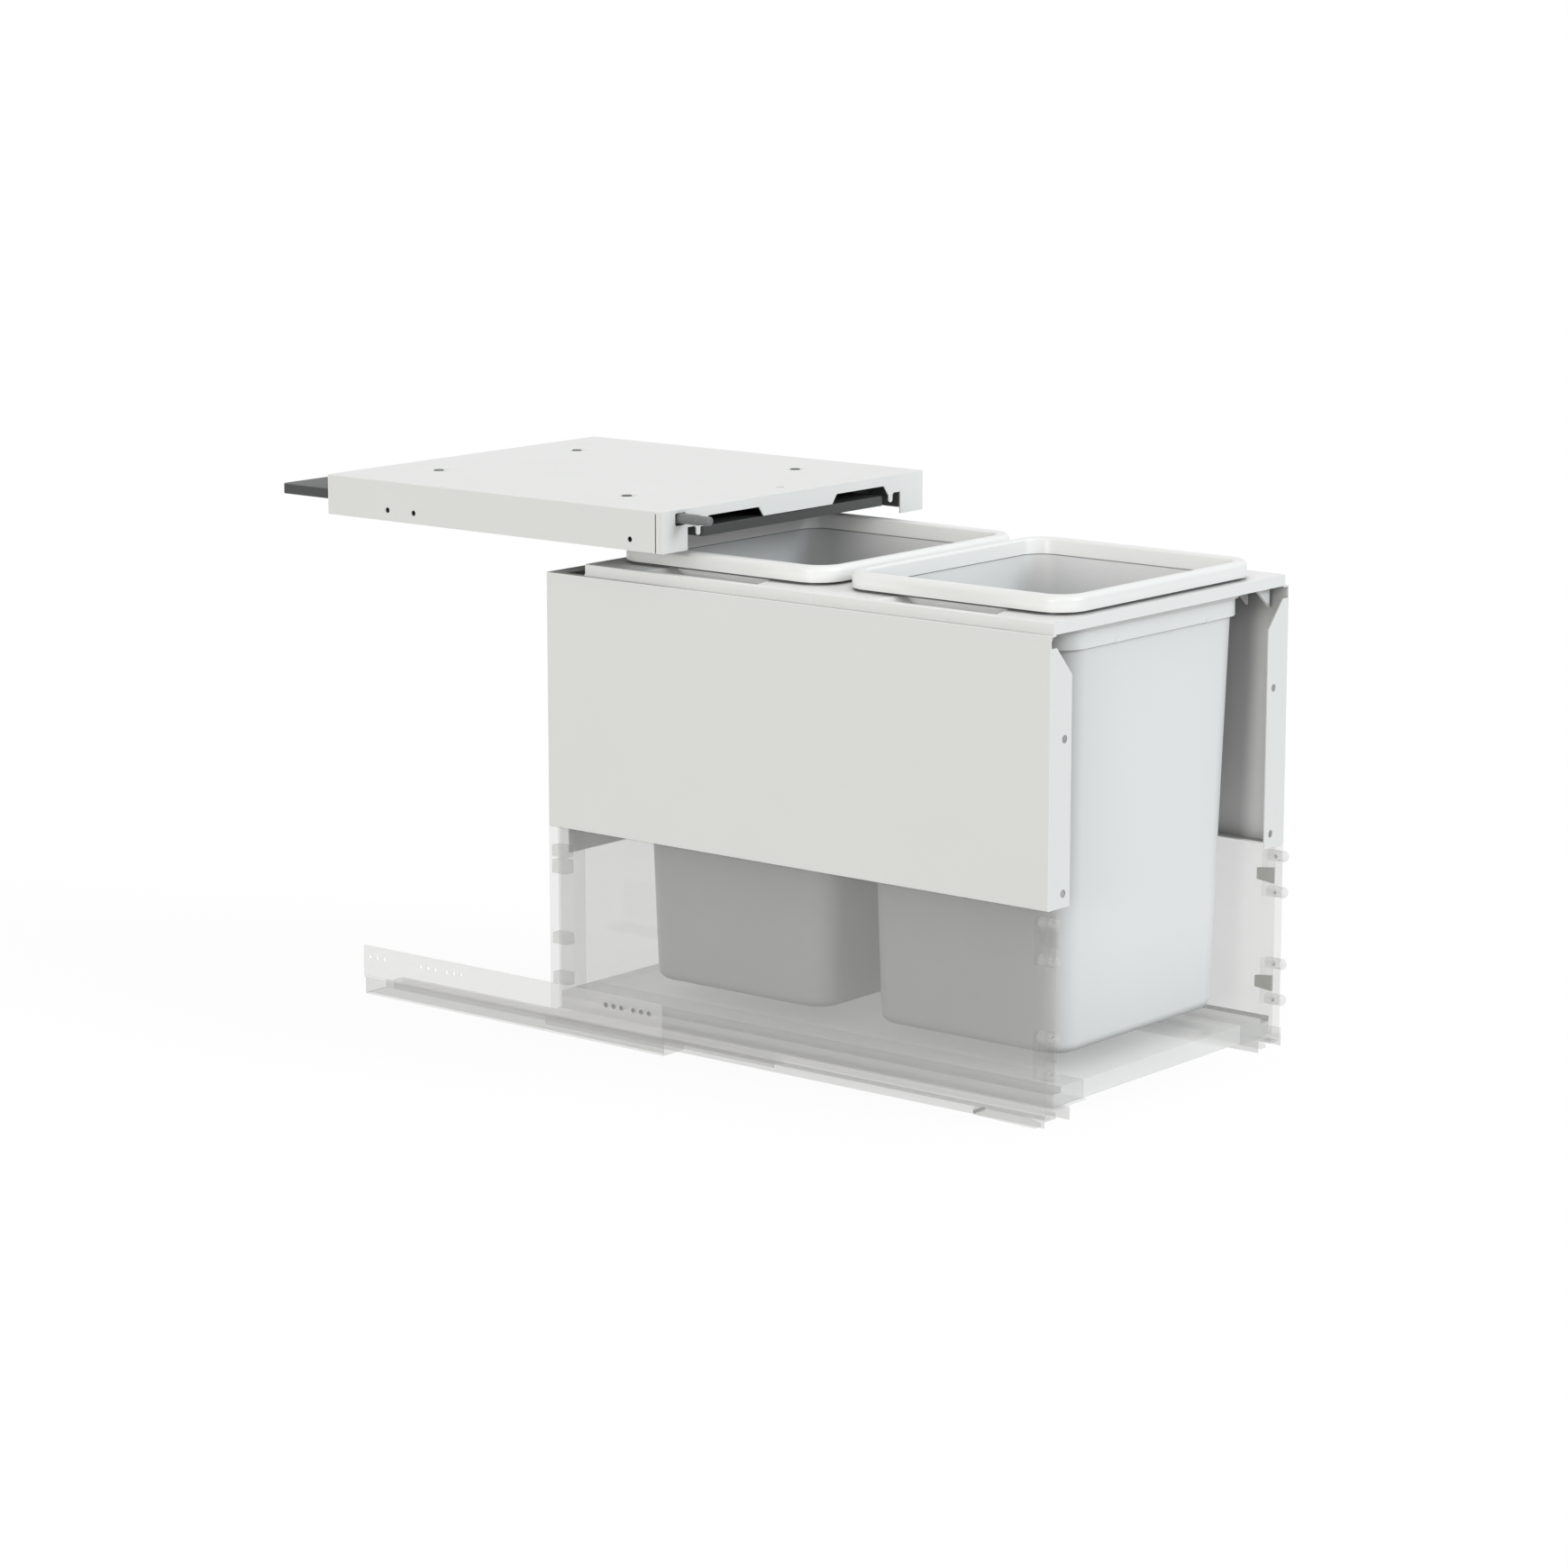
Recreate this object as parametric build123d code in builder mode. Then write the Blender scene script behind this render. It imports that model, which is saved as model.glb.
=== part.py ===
from build123d import *
import os

# Pull-out waste unit for a kitchen cabinet: a covered drawer on runners with two
# lift-out bins, and a fixed housing above it whose lid drops on to the bins.
#
# Frame, in millimetres: x across the cabinet, y into the cabinet from its front
# edge, z up from the row of rail screws.  The drawer is drawn pulled out by OPEN.

# ---------------------------------------------------------------------------
# Driving sizes
# ---------------------------------------------------------------------------
CABINET_WIDTH = 364.0          # inside width of the cabinet
SIDE_FIT = 0.3                 # fixed pieces stop this far from the cabinet side
GRID = 32.0                    # pitch of the cabinet's drilled rows
SETBACK = 37.0                 # first drilled row, behind the cabinet's front edge
SHEET = 1.2                    # gauge of the folded white sheets
FOLD = 0.6                     # outside radius of a fold
RUNNING = 0.3                  # gap between pieces that slide past each other
OPEN = 403.0                   # how far the drawer is drawn out here

DRAWER_DEPTH = 544.0
DRAWER_GAP = 8.2               # fixed pieces' outer face to the drawer's outer face
DRAWER_WALL = 1.0              # gauge of the drawer side's steel
DRAWER_SIDE_WIDTH = 12.5       # outer face to inner face of the hollow side
DRAWER_SIDE_TOP = 150.3
DRAWER_SIDE_BOTTOM = -24.7
FLOOR_TOP = -1.7
BOARD = 16.0                   # floor and back boards
FLOOR_FLANGE = 45.0            # width of the strip that carries the floor

RAISED_HEIGHT = 226.6          # raised sides and back, above the drawer sides
RAISED_SEAT = 7.5              # flange along the top that carries the bin frames
FRONT_FLANGE = 29.9            # width of the raised side's front flange
FRONT_HOLE_INSET = 20.5        # drawer's outer face to the flange's holes
FRONT_HOLE_RISE = 11.7
FRONT_HOLE_R = 3.5

FRAME_INSET = 5.1              # drawer's outer face to the bin frame's
FRAME_HEIGHT = 10.0
FRAME_START = 0.4              # first frame, behind the drawer's front plane
SCOOP_DEPTH = 24.0

BIN_HALF = (127.5, 109.8)      # outside of the bin at its top edge
BIN_TAPER = (9.5, 9.6)         # how much narrower each half is at its bottom
BIN_CLEARANCE = 14.0           # from the floor board to the hanging bin
BIN_WALL = 2.0
BIN_CORNER = 25.0
BIN_LIFT_GAP = 2.2             # dark gap between frame and rim

RIM_OVERHANG = (13.3, 7.7)     # how far the bag ring's rim stands out past the bin
RIM_GAP = 16.5                 # between the rims of the two bins
RING_CORNER = 28.0
RING_MOUTH = (0.5, -1.8)       # the rim's mouth, against the bin's outside
RING_HEIGHT = 13.6
SKIRT_STEP = (3.0, 2.2)        # how far the ring's skirt stands out past the bin
SKIRT_DEPTH = 32.8

COVER_DEPTH = 399.4
COVER_HEIGHT = 36.2
COVER_SKIRT = 9.3              # housing's lower edge below the raised lid
COVER_HOLE_RISE = 9.8          # from the housing's lower edge to its row of screw holes
COVER_HOLE_R = 2.5
COVER_LEG = 33.1               # width of the two legs at the housing's front
COVER_SEAM = (7.3, 8.5)        # slit between the front return and the side wall

GUIDE_INSET = 21.7             # fixed pieces' outer face to the lid guides' inner face
LID_SIDE_GAP = 3.0             # between the lid and each guide
LID_NOSE_STEP = 31.0           # how much narrower each half of the lid's front is
LID_NOSE = 42.0
LID_FRONT = 2.0
LID_REAR = 485.0
LID_THICKNESS = 9.0
LID_CLEAR = 12.8               # above the rims when the lid is up
LID_SEAT_GAP = 0.4             # above the rims when it is down

BAR_GAP = 0.8                  # between a guide's wall and its slide bar
PLUNGER_RISE = 10.4            # plunger's axis, above the raised lid
PLUNGER_R = 4.65
PLUNGER_STEP = 1.2             # how much thinner the plunger's shank is, inside its block
PLUNGER_GAP = 0.55             # between that shank and the slide bar
PLUNGER_REACH = 34.0           # how far the plunger stands out of the housing

RAIL_FRONT = 4.0
RAIL_LENGTH = 360.5
RAIL_GAUGE = 1.5
RAIL_TOP = 10.4
RAIL_STEP = -20.0
RAIL_BOTTOM = -36.0
RAIL_SHELF = 29.7              # width of the rail's shelf, with its step
RAIL_HOLE_R = 2.2
RAIL_HOLE_STEP = 9.0
MIDDLE_HOME = 98.5             # middle rail's front when the drawer is shut
MIDDLE_LENGTH = 453.0
RUNNER_LENGTH = 549.0
RUNNER_GAUGE = 1.3
RUNNER_SPAN = (33.9, 2.5)      # runner's faces, inside and outside the drawer's outer face
RUNNER_LOW = -30.7
RUNNER_LIP = -14.7

# ---------------------------------------------------------------------------
# Worked-out places
# ---------------------------------------------------------------------------
FIXED_HALF = CABINET_WIDTH / 2 - SIDE_FIT
DRAWER_HALF = FIXED_HALF - DRAWER_GAP
FRAME_HALF = DRAWER_HALF - FRAME_INSET
RAIL_INNER = FIXED_HALF - RAIL_SHELF
RUNNER_HALF = (DRAWER_HALF - RUNNER_SPAN[0], DRAWER_HALF + RUNNER_SPAN[1])
GUIDE_INNER = FIXED_HALF - GUIDE_INSET
LID_HALF = GUIDE_INNER - LID_SIDE_GAP
LID_NOSE_HALF = LID_HALF - LID_NOSE_STEP
BIN_FOOT_HALF = tuple(half - taper for half, taper in zip(BIN_HALF, BIN_TAPER))
RING_HALF = tuple(half + step for half, step in zip(BIN_HALF, RIM_OVERHANG))
RING_MOUTH_HALF = tuple(half + step for half, step in zip(BIN_HALF, RING_MOUTH))
SKIRT_HALF = tuple(half + step for half, step in zip(BIN_HALF, SKIRT_STEP))
FRAME_LENGTH = 2 * RING_HALF[1] + RIM_GAP
DRAWER_FRONT = -OPEN
MIDDLE_FRONT = MIDDLE_HOME - OPEN / 2
DRAWER_REAR = DRAWER_FRONT + DRAWER_DEPTH
SIDE_INNER = DRAWER_HALF - DRAWER_SIDE_WIDTH
FLOOR_BOTTOM = FLOOR_TOP - BOARD
BACK_SHEET = DRAWER_REAR - SHEET
RAISED_TOP = DRAWER_SIDE_TOP + RAISED_HEIGHT
BIN_BOTTOM = FLOOR_TOP + BIN_CLEARANCE
FRAME_TOP = RAISED_TOP + FRAME_HEIGHT
SEAT_TOP = FRAME_TOP + BIN_LIFT_GAP      # underside of the rim, top of the bin
RING_TOP = SEAT_TOP + RING_HEIGHT
LID_RAISED = RING_TOP + LID_CLEAR
COVER_BOTTOM = LID_RAISED - COVER_SKIRT
COVER_HOLE_Z = COVER_BOTTOM + COVER_HOLE_RISE
COVER_TOP = COVER_BOTTOM + COVER_HEIGHT
COVER_CEILING = COVER_TOP - SHEET
LID_TOP = LID_RAISED + LID_THICKNESS
LID_DROP = LID_CLEAR - LID_SEAT_GAP
BAR_INNER = GUIDE_INNER + SHEET + BAR_GAP
SHANK_R = PLUNGER_R - PLUNGER_STEP
PLUNGER_X = -(BAR_INNER - SHANK_R - PLUNGER_GAP)
PLUNGER_Z = LID_TOP + PLUNGER_RISE


def slab(x, y, z, mode=Mode.ADD):
    """A block between two values on each axis."""
    middle = ((x[0] + x[1]) / 2, (y[0] + y[1]) / 2, (z[0] + z[1]) / 2)
    with Locations(middle):
        Box(abs(x[1] - x[0]), abs(y[1] - y[0]), abs(z[1] - z[0]), mode=mode)


def across(y):
    """The upright plane across the cabinet at depth y: sketch x is x, sketch y is z."""
    return Plane.XZ.offset(-y)


def folded(points, gauge, side, y_start, length, rounding=FOLD):
    """A sheet folded along a chain of points and run from y_start into the cabinet."""
    with BuildSketch(across(y_start)) as section:
        with BuildLine():
            Polyline(*points)
            offset(amount=gauge, side=side, kind=Kind.INTERSECTION)
        make_face()
        corners = [Vector(*point) for point in points[1:-1]]
        bends = [v for v in section.vertices() if any((Vector(v) - c).length < 0.01 for c in corners)]
        fillet(bends, rounding)
    extrude(section.sketch, amount=-length)


def rounded_column(half_sizes, corner, centre_y, z, height, mode=Mode.ADD):
    """An upright rounded block about (0, centre_y)."""
    with BuildSketch(Plane((0, centre_y, z))) as section:
        RectangleRounded(2 * half_sizes[0], 2 * half_sizes[1], corner)
    extrude(section.sketch, amount=height, mode=mode)


def tapered_column(low, low_corner, high, high_corner, centre_y, z_low, z_high, mode=Mode.ADD):
    """A rounded block whose half sizes change from low to high."""
    with BuildSketch(Plane((0, centre_y, z_low))) as lower:
        RectangleRounded(2 * low[0], 2 * low[1], low_corner)
    with BuildSketch(Plane((0, centre_y, z_high))) as upper:
        RectangleRounded(2 * high[0], 2 * high[1], high_corner)
    loft([lower.sketch, upper.sketch], ruled=True, mode=mode)


def shrunk(half_sizes, by):
    """Half sizes less the same amount on both axes."""
    return (half_sizes[0] - by, half_sizes[1] - by)


def save(shape, name):
    """Labels a finished piece and writes its file."""
    shape.label = name
    export_step(shape, f"parts/{name}.step")


def save_pair(shape, name):
    """Writes a right-hand piece and its mirror image."""
    save(shape, f"right_{name}")
    save(mirror(shape, about=Plane.YZ), f"left_{name}")


os.makedirs("parts", exist_ok=True)

# ---------------------------------------------------------------------------
# Cover housing: top, side walls, and a front flange that returns round the corner
# ---------------------------------------------------------------------------
FLANGE_LOW = COVER_TOP - 17.4            # lower edge of the front flange
CUTOUT_TOP = COVER_TOP - 8.9
CUTOUT_CENTRES = (-86.5, 90.4)
CUTOUT_HALF = (40.4, 34.0)               # half widths below and above
LEG_INNER = FIXED_HALF - COVER_LEG
TOOTH = (LEG_INNER - 16.9, LEG_INNER - 11.6)
TOOTH_LOW = COVER_TOP - 21.9
WINDOW = (LEG_INNER - 10.3, LEG_INNER)
WINDOW_TOP = COVER_TOP - 16.2
PLUNGER_PORT = (2 * PLUNGER_R + 4.7, 2 * PLUNGER_R + 1.7)
PORT_BOTTOM = PLUNGER_Z - PLUNGER_R - 1.6
COVER_HOLES_Y = (SETBACK, SETBACK + 8 * GRID, SETBACK + 9 * GRID)
DIMPLES = ((116.7, 97.0), (94.3, 344.0))
DIMPLE_R = 11.0
DIMPLE_DEPTH = 1.4
DIMPLE_HOLE_R = 4.4
WELD_MARK = (6.3, 24.7, 4.0, 0.4)        # x, y, radius, depth

with BuildPart() as cover_housing:
    folded(
        [(-FIXED_HALF, COVER_BOTTOM), (-FIXED_HALF, COVER_TOP),
         (FIXED_HALF, COVER_TOP), (FIXED_HALF, COVER_BOTTOM)],
        SHEET, Side.RIGHT, 0, COVER_DEPTH,
    )
    for side in (-1, 1):
        slab((side * (FIXED_HALF - SHEET), side * (FIXED_HALF + 1)), COVER_SEAM,
             (COVER_BOTTOM - 1, COVER_CEILING - 1), mode=Mode.SUBTRACT)
    with BuildSketch(across(0)):
        with Locations((0, (COVER_BOTTOM + COVER_CEILING) / 2)):
            Rectangle(2 * (FIXED_HALF - SHEET), COVER_CEILING - COVER_BOTTOM)
        with Locations((0, (COVER_BOTTOM + FLANGE_LOW) / 2)):
            Rectangle(2 * LEG_INNER, FLANGE_LOW - COVER_BOTTOM, mode=Mode.SUBTRACT)
        for centre in CUTOUT_CENTRES:
            with BuildLine():
                Polyline(
                    (centre - CUTOUT_HALF[0], FLANGE_LOW), (centre - CUTOUT_HALF[1], CUTOUT_TOP),
                    (centre + CUTOUT_HALF[1], CUTOUT_TOP), (centre + CUTOUT_HALF[0], FLANGE_LOW),
                    close=True,
                )
            make_face(mode=Mode.SUBTRACT)
        for side in (-1, 1):
            with Locations((side * (WINDOW[0] + WINDOW[1]) / 2, (WINDOW_TOP + FLANGE_LOW) / 2)):
                Rectangle(WINDOW[1] - WINDOW[0], abs(FLANGE_LOW - WINDOW_TOP) + 0.01, mode=Mode.SUBTRACT)
            with Locations((side * (TOOTH[0] + TOOTH[1]) / 2, (TOOTH_LOW + FLANGE_LOW) / 2)):
                Rectangle(TOOTH[1] - TOOTH[0], FLANGE_LOW - TOOTH_LOW)
            with Locations((side * (TOOTH[0] + TOOTH[1]) / 2, TOOTH_LOW)):
                Circle((TOOTH[1] - TOOTH[0]) / 2)
        with Locations((PLUNGER_X, PORT_BOTTOM + PLUNGER_PORT[1] / 2)):
            RectangleRounded(*PLUNGER_PORT, 2, mode=Mode.SUBTRACT)
    extrude(amount=-SHEET)
    for hole_y in COVER_HOLES_Y:
        with Locations(Location((0, hole_y, COVER_HOLE_Z), (0, 90, 0))):
            Cylinder(COVER_HOLE_R, 2 * FIXED_HALF + 2, mode=Mode.SUBTRACT)
    for x, y in [(s * px, py) for px, py in DIMPLES for s in (-1, 1)]:
        with BuildSketch(Plane((x, y, 0), x_dir=(1, 0, 0), z_dir=(0, -1, 0))):
            with BuildLine():
                Polyline(
                    (0, COVER_CEILING), (DIMPLE_R, COVER_CEILING),
                    (DIMPLE_HOLE_R + 1, COVER_CEILING - DIMPLE_DEPTH),
                    (0, COVER_CEILING - DIMPLE_DEPTH), close=True,
                )
            make_face()
        revolve(axis=Axis((x, y, 0), (0, 0, 1)))
        with BuildSketch(Plane((x, y, 0), x_dir=(1, 0, 0), z_dir=(0, -1, 0))):
            with BuildLine():
                Polyline(
                    (0, COVER_TOP), (DIMPLE_R, COVER_TOP),
                    (DIMPLE_HOLE_R + 1, COVER_TOP - DIMPLE_DEPTH),
                    (0, COVER_TOP - DIMPLE_DEPTH), close=True,
                )
            make_face()
        revolve(axis=Axis((x, y, 0), (0, 0, 1)), mode=Mode.SUBTRACT)
        with Locations((x, y, COVER_CEILING)):
            Cylinder(DIMPLE_HOLE_R, 4 * DIMPLE_DEPTH, mode=Mode.SUBTRACT)
    with Locations((WELD_MARK[0], WELD_MARK[1], COVER_TOP)):
        Cylinder(WELD_MARK[2], 2 * WELD_MARK[3], mode=Mode.SUBTRACT)
save(cover_housing.part, "cover_housing")

# ---------------------------------------------------------------------------
# Cabinet rails: a screw flange, a step, and a shelf with an upturned tongue
# ---------------------------------------------------------------------------
TONGUE_TOP = -27.5
RAIL_WEB = FIXED_HALF - 1.7
# the last hole of each group of three lies on the cabinet's drilled row
RAIL_GROUPS = [SETBACK + n * GRID for n in (0, 1, 7, 8, 10)]

with BuildPart() as cabinet_rail:
    folded(
        [(RAIL_INNER, TONGUE_TOP), (RAIL_INNER, RAIL_BOTTOM), (RAIL_WEB, RAIL_BOTTOM),
         (RAIL_WEB, RAIL_STEP), (FIXED_HALF, RAIL_STEP), (FIXED_HALF, RAIL_TOP)],
        RAIL_GAUGE, Side.LEFT, RAIL_FRONT, RAIL_LENGTH,
    )
    for last in RAIL_GROUPS:
        for step in range(3):
            with Locations(Location((FIXED_HALF, last - step * RAIL_HOLE_STEP, 0), (0, 90, 0))):
                Cylinder(RAIL_HOLE_R, 4 * RAIL_GAUGE, mode=Mode.SUBTRACT)
save_pair(cabinet_rail.part, "cabinet_rail")

# ---------------------------------------------------------------------------
# Middle rails, with rollers below on the rail's shelf and above under the drawer
# ---------------------------------------------------------------------------
MIDDLE_X = (RAIL_INNER - 6.5, RAIL_INNER + 6.5)
MIDDLE_TOP = -24.5
MIDDLE_LOW = -33.0
SHELF_TOP = RAIL_BOTTOM + RAIL_GAUGE
LOWER_ROLLER_R = (MIDDLE_TOP - RUNNER_GAUGE - SHELF_TOP) / 2 - RUNNING - 0.2
LOWER_ROLLER_X = (RAIL_INNER + RAIL_GAUGE + RUNNING, MIDDLE_X[1] - RUNNER_GAUGE)
LOWER_ROLLERS = 4
SUPPORT_TOP = FLOOR_BOTTOM - DRAWER_WALL   # top of the drawer runner, under the floor flange
RUNNER_CEILING = SUPPORT_TOP - RUNNER_GAUGE
UPPER_ROLLER_R = (RUNNER_CEILING - MIDDLE_TOP) / 2 - 0.25
UPPER_ROLLERS = 7
CAGE = 1.6
CAGE_X = (MIDDLE_X[0] + 1.5, MIDDLE_X[1] - 1.5)
CAGE_FRONT = MIDDLE_FRONT + 12
CAGE_LENGTH = 230.0
ROLLER_WIDTH = 7.0
upper_roller_y = [CAGE_FRONT + CAGE_LENGTH * (n + 0.5) / UPPER_ROLLERS for n in range(UPPER_ROLLERS)]
lower_roller_y = [MIDDLE_FRONT + 130 + 68 * n for n in range(LOWER_ROLLERS)]

with BuildPart() as middle_rail:
    folded(
        [(MIDDLE_X[0], MIDDLE_LOW), (MIDDLE_X[0], MIDDLE_TOP),
         (MIDDLE_X[1], MIDDLE_TOP), (MIDDLE_X[1], MIDDLE_LOW)],
        RUNNER_GAUGE, Side.RIGHT, MIDDLE_FRONT, MIDDLE_LENGTH,
    )
save_pair(middle_rail.part, "middle_rail")

with BuildPart() as roller_cage:
    slab(CAGE_X, (CAGE_FRONT, CAGE_FRONT + CAGE_LENGTH), (MIDDLE_TOP, MIDDLE_TOP + CAGE))
    for y in upper_roller_y:
        with Locations(((CAGE_X[0] + CAGE_X[1]) / 2, y, MIDDLE_TOP)):
            Box(ROLLER_WIDTH + 0.5, 2 * UPPER_ROLLER_R + 0.5, 4 * CAGE, mode=Mode.SUBTRACT)
save_pair(roller_cage.part, "roller_cage")

with BuildPart() as runner_rollers:
    for y in upper_roller_y:
        place = ((CAGE_X[0] + CAGE_X[1]) / 2, y, (RUNNER_CEILING + MIDDLE_TOP) / 2)
        with Locations(Location(place, (0, 90, 0))):
            Cylinder(UPPER_ROLLER_R, ROLLER_WIDTH)
    for y in lower_roller_y:
        place = (sum(LOWER_ROLLER_X) / 2, y, SHELF_TOP + RUNNING + LOWER_ROLLER_R)
        with Locations(Location(place, (0, 90, 0))):
            Cylinder(LOWER_ROLLER_R, LOWER_ROLLER_X[1] - LOWER_ROLLER_X[0])
save_pair(runner_rollers.part, "runner_rollers")

# ---------------------------------------------------------------------------
# Drawer runners, release catches and the pins they turn on
# ---------------------------------------------------------------------------
RUNNER_STEP_X = SIDE_INNER - 0.6
LOWER_SHELF = DRAWER_SIDE_BOTTOM
CATCH_X = (SIDE_INNER + 2.0, SIDE_INNER + 10.0)
CATCH_Y = (DRAWER_FRONT + 12, DRAWER_FRONT + 76)
CATCH_TOP = LOWER_SHELF - RUNNER_GAUGE - 1.0
CATCH_HEIGHT = 7.0
CATCH_TAB = 16.0
PIN_R = 1.5
PIN_PLACE = (CATCH_Y[1] - 4.5, RUNNER_LOW + PIN_R + 0.1)

outer_skin = RUNNER_HALF[1] - RUNNER_GAUGE
with BuildPart() as drawer_runner:
    folded(
        [(RUNNER_HALF[0], RUNNER_LOW), (RUNNER_HALF[0], SUPPORT_TOP), (RUNNER_STEP_X, SUPPORT_TOP),
         (RUNNER_STEP_X, LOWER_SHELF), (outer_skin, LOWER_SHELF), (outer_skin, RUNNER_LIP)],
        RUNNER_GAUGE, Side.RIGHT, DRAWER_FRONT, RUNNER_LENGTH,
    )
    slab((outer_skin, RUNNER_HALF[1]), (DRAWER_FRONT, DRAWER_FRONT + RUNNER_LENGTH),
         (RUNNER_LOW, LOWER_SHELF))
save_pair(drawer_runner.part, "drawer_runner")

with BuildPart() as release_catch:
    with BuildSketch(Plane.YZ.offset(CATCH_X[0])):
        with BuildLine():
            Polyline(
                (CATCH_Y[0], CATCH_TOP - CATCH_HEIGHT), (CATCH_Y[0], CATCH_TOP - CATCH_HEIGHT + 3),
                (CATCH_Y[0] + CATCH_TAB, CATCH_TOP), (CATCH_Y[1], CATCH_TOP),
                (CATCH_Y[1], CATCH_TOP - CATCH_HEIGHT + 1),
                (CATCH_Y[0] + CATCH_TAB, CATCH_TOP - CATCH_HEIGHT),
                close=True,
            )
        make_face()
        with Locations(PIN_PLACE):
            Circle(PIN_R + 0.05, mode=Mode.SUBTRACT)
    extrude(amount=CATCH_X[1] - CATCH_X[0])
save_pair(release_catch.part, "release_catch")

with BuildPart() as catch_pin:
    with BuildSketch(Plane.YZ.offset(CATCH_X[0] - 1.5)):
        with Locations(PIN_PLACE):
            Circle(PIN_R)
    extrude(amount=outer_skin - CATCH_X[0] + 1.5)
save_pair(catch_pin.part, "catch_pin")

# ---------------------------------------------------------------------------
# Drawer: hollow steel sides, floor board, back board and what ties them together
# ---------------------------------------------------------------------------
LIP_BACK = 7.5                           # lip turned in under the outer wall
BACK_FRONT = BACK_SHEET - BOARD
BACK_HALF = SIDE_INNER - 1.5
BRACKET_LEG = 13.0

with BuildPart() as drawer_side:
    folded(
        [(SIDE_INNER - FLOOR_FLANGE, FLOOR_BOTTOM), (SIDE_INNER, FLOOR_BOTTOM),
         (SIDE_INNER, DRAWER_SIDE_TOP), (DRAWER_HALF, DRAWER_SIDE_TOP), (DRAWER_HALF, DRAWER_SIDE_BOTTOM),
         (DRAWER_HALF - LIP_BACK, DRAWER_SIDE_BOTTOM)],
        DRAWER_WALL, Side.RIGHT, DRAWER_FRONT, DRAWER_DEPTH, rounding=DRAWER_WALL / 2,
    )
save_pair(drawer_side.part, "drawer_side")

with BuildPart() as drawer_floor:
    floor_half = SIDE_INNER - DRAWER_WALL / 2
    slab((-floor_half, floor_half), (DRAWER_FRONT + 3, BACK_SHEET), (FLOOR_BOTTOM, FLOOR_TOP))
save(drawer_floor.part, "drawer_floor")

with BuildPart() as drawer_back:
    slab((-BACK_HALF, BACK_HALF), (BACK_FRONT, BACK_SHEET), (FLOOR_TOP, DRAWER_SIDE_TOP))
save(drawer_back.part, "drawer_back")

with BuildPart() as back_bracket:
    slab((SIDE_INNER - SHEET, SIDE_INNER), (BACK_FRONT - SHEET, BACK_SHEET), (FLOOR_TOP, DRAWER_SIDE_TOP))
    slab((SIDE_INNER - SHEET - BRACKET_LEG, SIDE_INNER), (BACK_FRONT - SHEET, BACK_FRONT),
         (FLOOR_TOP, DRAWER_SIDE_TOP))
save_pair(back_bracket.part, "back_bracket")

HOLLOW = (SIDE_INNER + DRAWER_WALL, DRAWER_HALF - DRAWER_WALL)
CLIPS = ((7.0, 18.0), (44.0, 54.0), (108.0, 120.0), (123.0, 133.0))   # heights of the clips
with BuildPart() as back_clips:
    for low, high in CLIPS:
        slab(HOLLOW, (BACK_FRONT - 1, BACK_SHEET - 1), (low, high))
save_pair(back_clips.part, "back_clips")

# Front brackets sit in the open ends of the hollow sides and carry two dowels each
BRACKET_CENTRES = (28.0, 124.0)
BRACKET_HALF = 20.0
BRACKET_DEPTH = 14.0
DOWEL_R = 5.0
DOWEL_X = DRAWER_HALF - DOWEL_R - 0.5
DOWEL_REACH = 8.5
DOWEL_SHANK_R = 1.6
HOOK = (2.5, 14.0, 10.0, 17.0)           # how far it stands out, front end, back end, depth
SCREW_HEAD = (1.6, 1.6)                  # radius and height of the sunk screws
SCREW_X = HOLLOW[0] + SCREW_HEAD[0] + 0.4
dowel_z = [centre + s * GRID / 2 for centre in BRACKET_CENTRES for s in (-1, 1)]

with BuildPart() as front_brackets:
    for centre in BRACKET_CENTRES:
        slab(HOLLOW, (DRAWER_FRONT, DRAWER_FRONT + BRACKET_DEPTH),
             (centre - BRACKET_HALF, centre + BRACKET_HALF))
    for z in dowel_z:
        with Locations(Location((DOWEL_X, DRAWER_FRONT, z), (90, 0, 0))):
            Cylinder(DOWEL_SHANK_R, 2 * BRACKET_DEPTH - 6, mode=Mode.SUBTRACT)
        with Locations(Location((SCREW_X, DRAWER_FRONT, z), (90, 0, 0))):
            Cylinder(SCREW_HEAD[0], 2 * SCREW_HEAD[1], mode=Mode.SUBTRACT)
save_pair(front_brackets.part, "front_brackets")

with BuildPart() as bracket_hooks:
    for centre in BRACKET_CENTRES:
        with BuildSketch(Plane((SIDE_INNER, DRAWER_FRONT, centre), x_dir=(0, 1, 0), z_dir=(1, 0, 0))):
            with BuildLine():
                Polyline(
                    (0, -HOOK[1] / 2), (0, HOOK[1] / 2), (HOOK[3], HOOK[2] / 2),
                    (HOOK[3], -HOOK[2] / 2), close=True,
                )
            make_face()
        extrude(amount=-HOOK[0])
save_pair(bracket_hooks.part, "bracket_hooks")

with BuildPart() as front_dowels:
    for z in dowel_z:
        with BuildSketch(Plane((DOWEL_X, DRAWER_FRONT, z), x_dir=(1, 0, 0), z_dir=(0, 0, 1))):
            with BuildLine():
                Polyline((0, -DOWEL_REACH), (DOWEL_R - 1.5, -DOWEL_REACH))
                ThreePointArc((DOWEL_R - 1.5, -DOWEL_REACH), (DOWEL_R - 0.44, -DOWEL_REACH + 0.44),
                              (DOWEL_R, -DOWEL_REACH + 1.5))
                Polyline((DOWEL_R, -DOWEL_REACH + 1.5), (DOWEL_R, 0), (DOWEL_SHANK_R, 0),
                         (DOWEL_SHANK_R, BRACKET_DEPTH - 4), (0, BRACKET_DEPTH - 4), (0, -DOWEL_REACH))
            make_face()
        revolve(axis=Axis((DOWEL_X, DRAWER_FRONT, z), (0, 1, 0)))
save_pair(front_dowels.part, "front_dowels")

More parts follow.
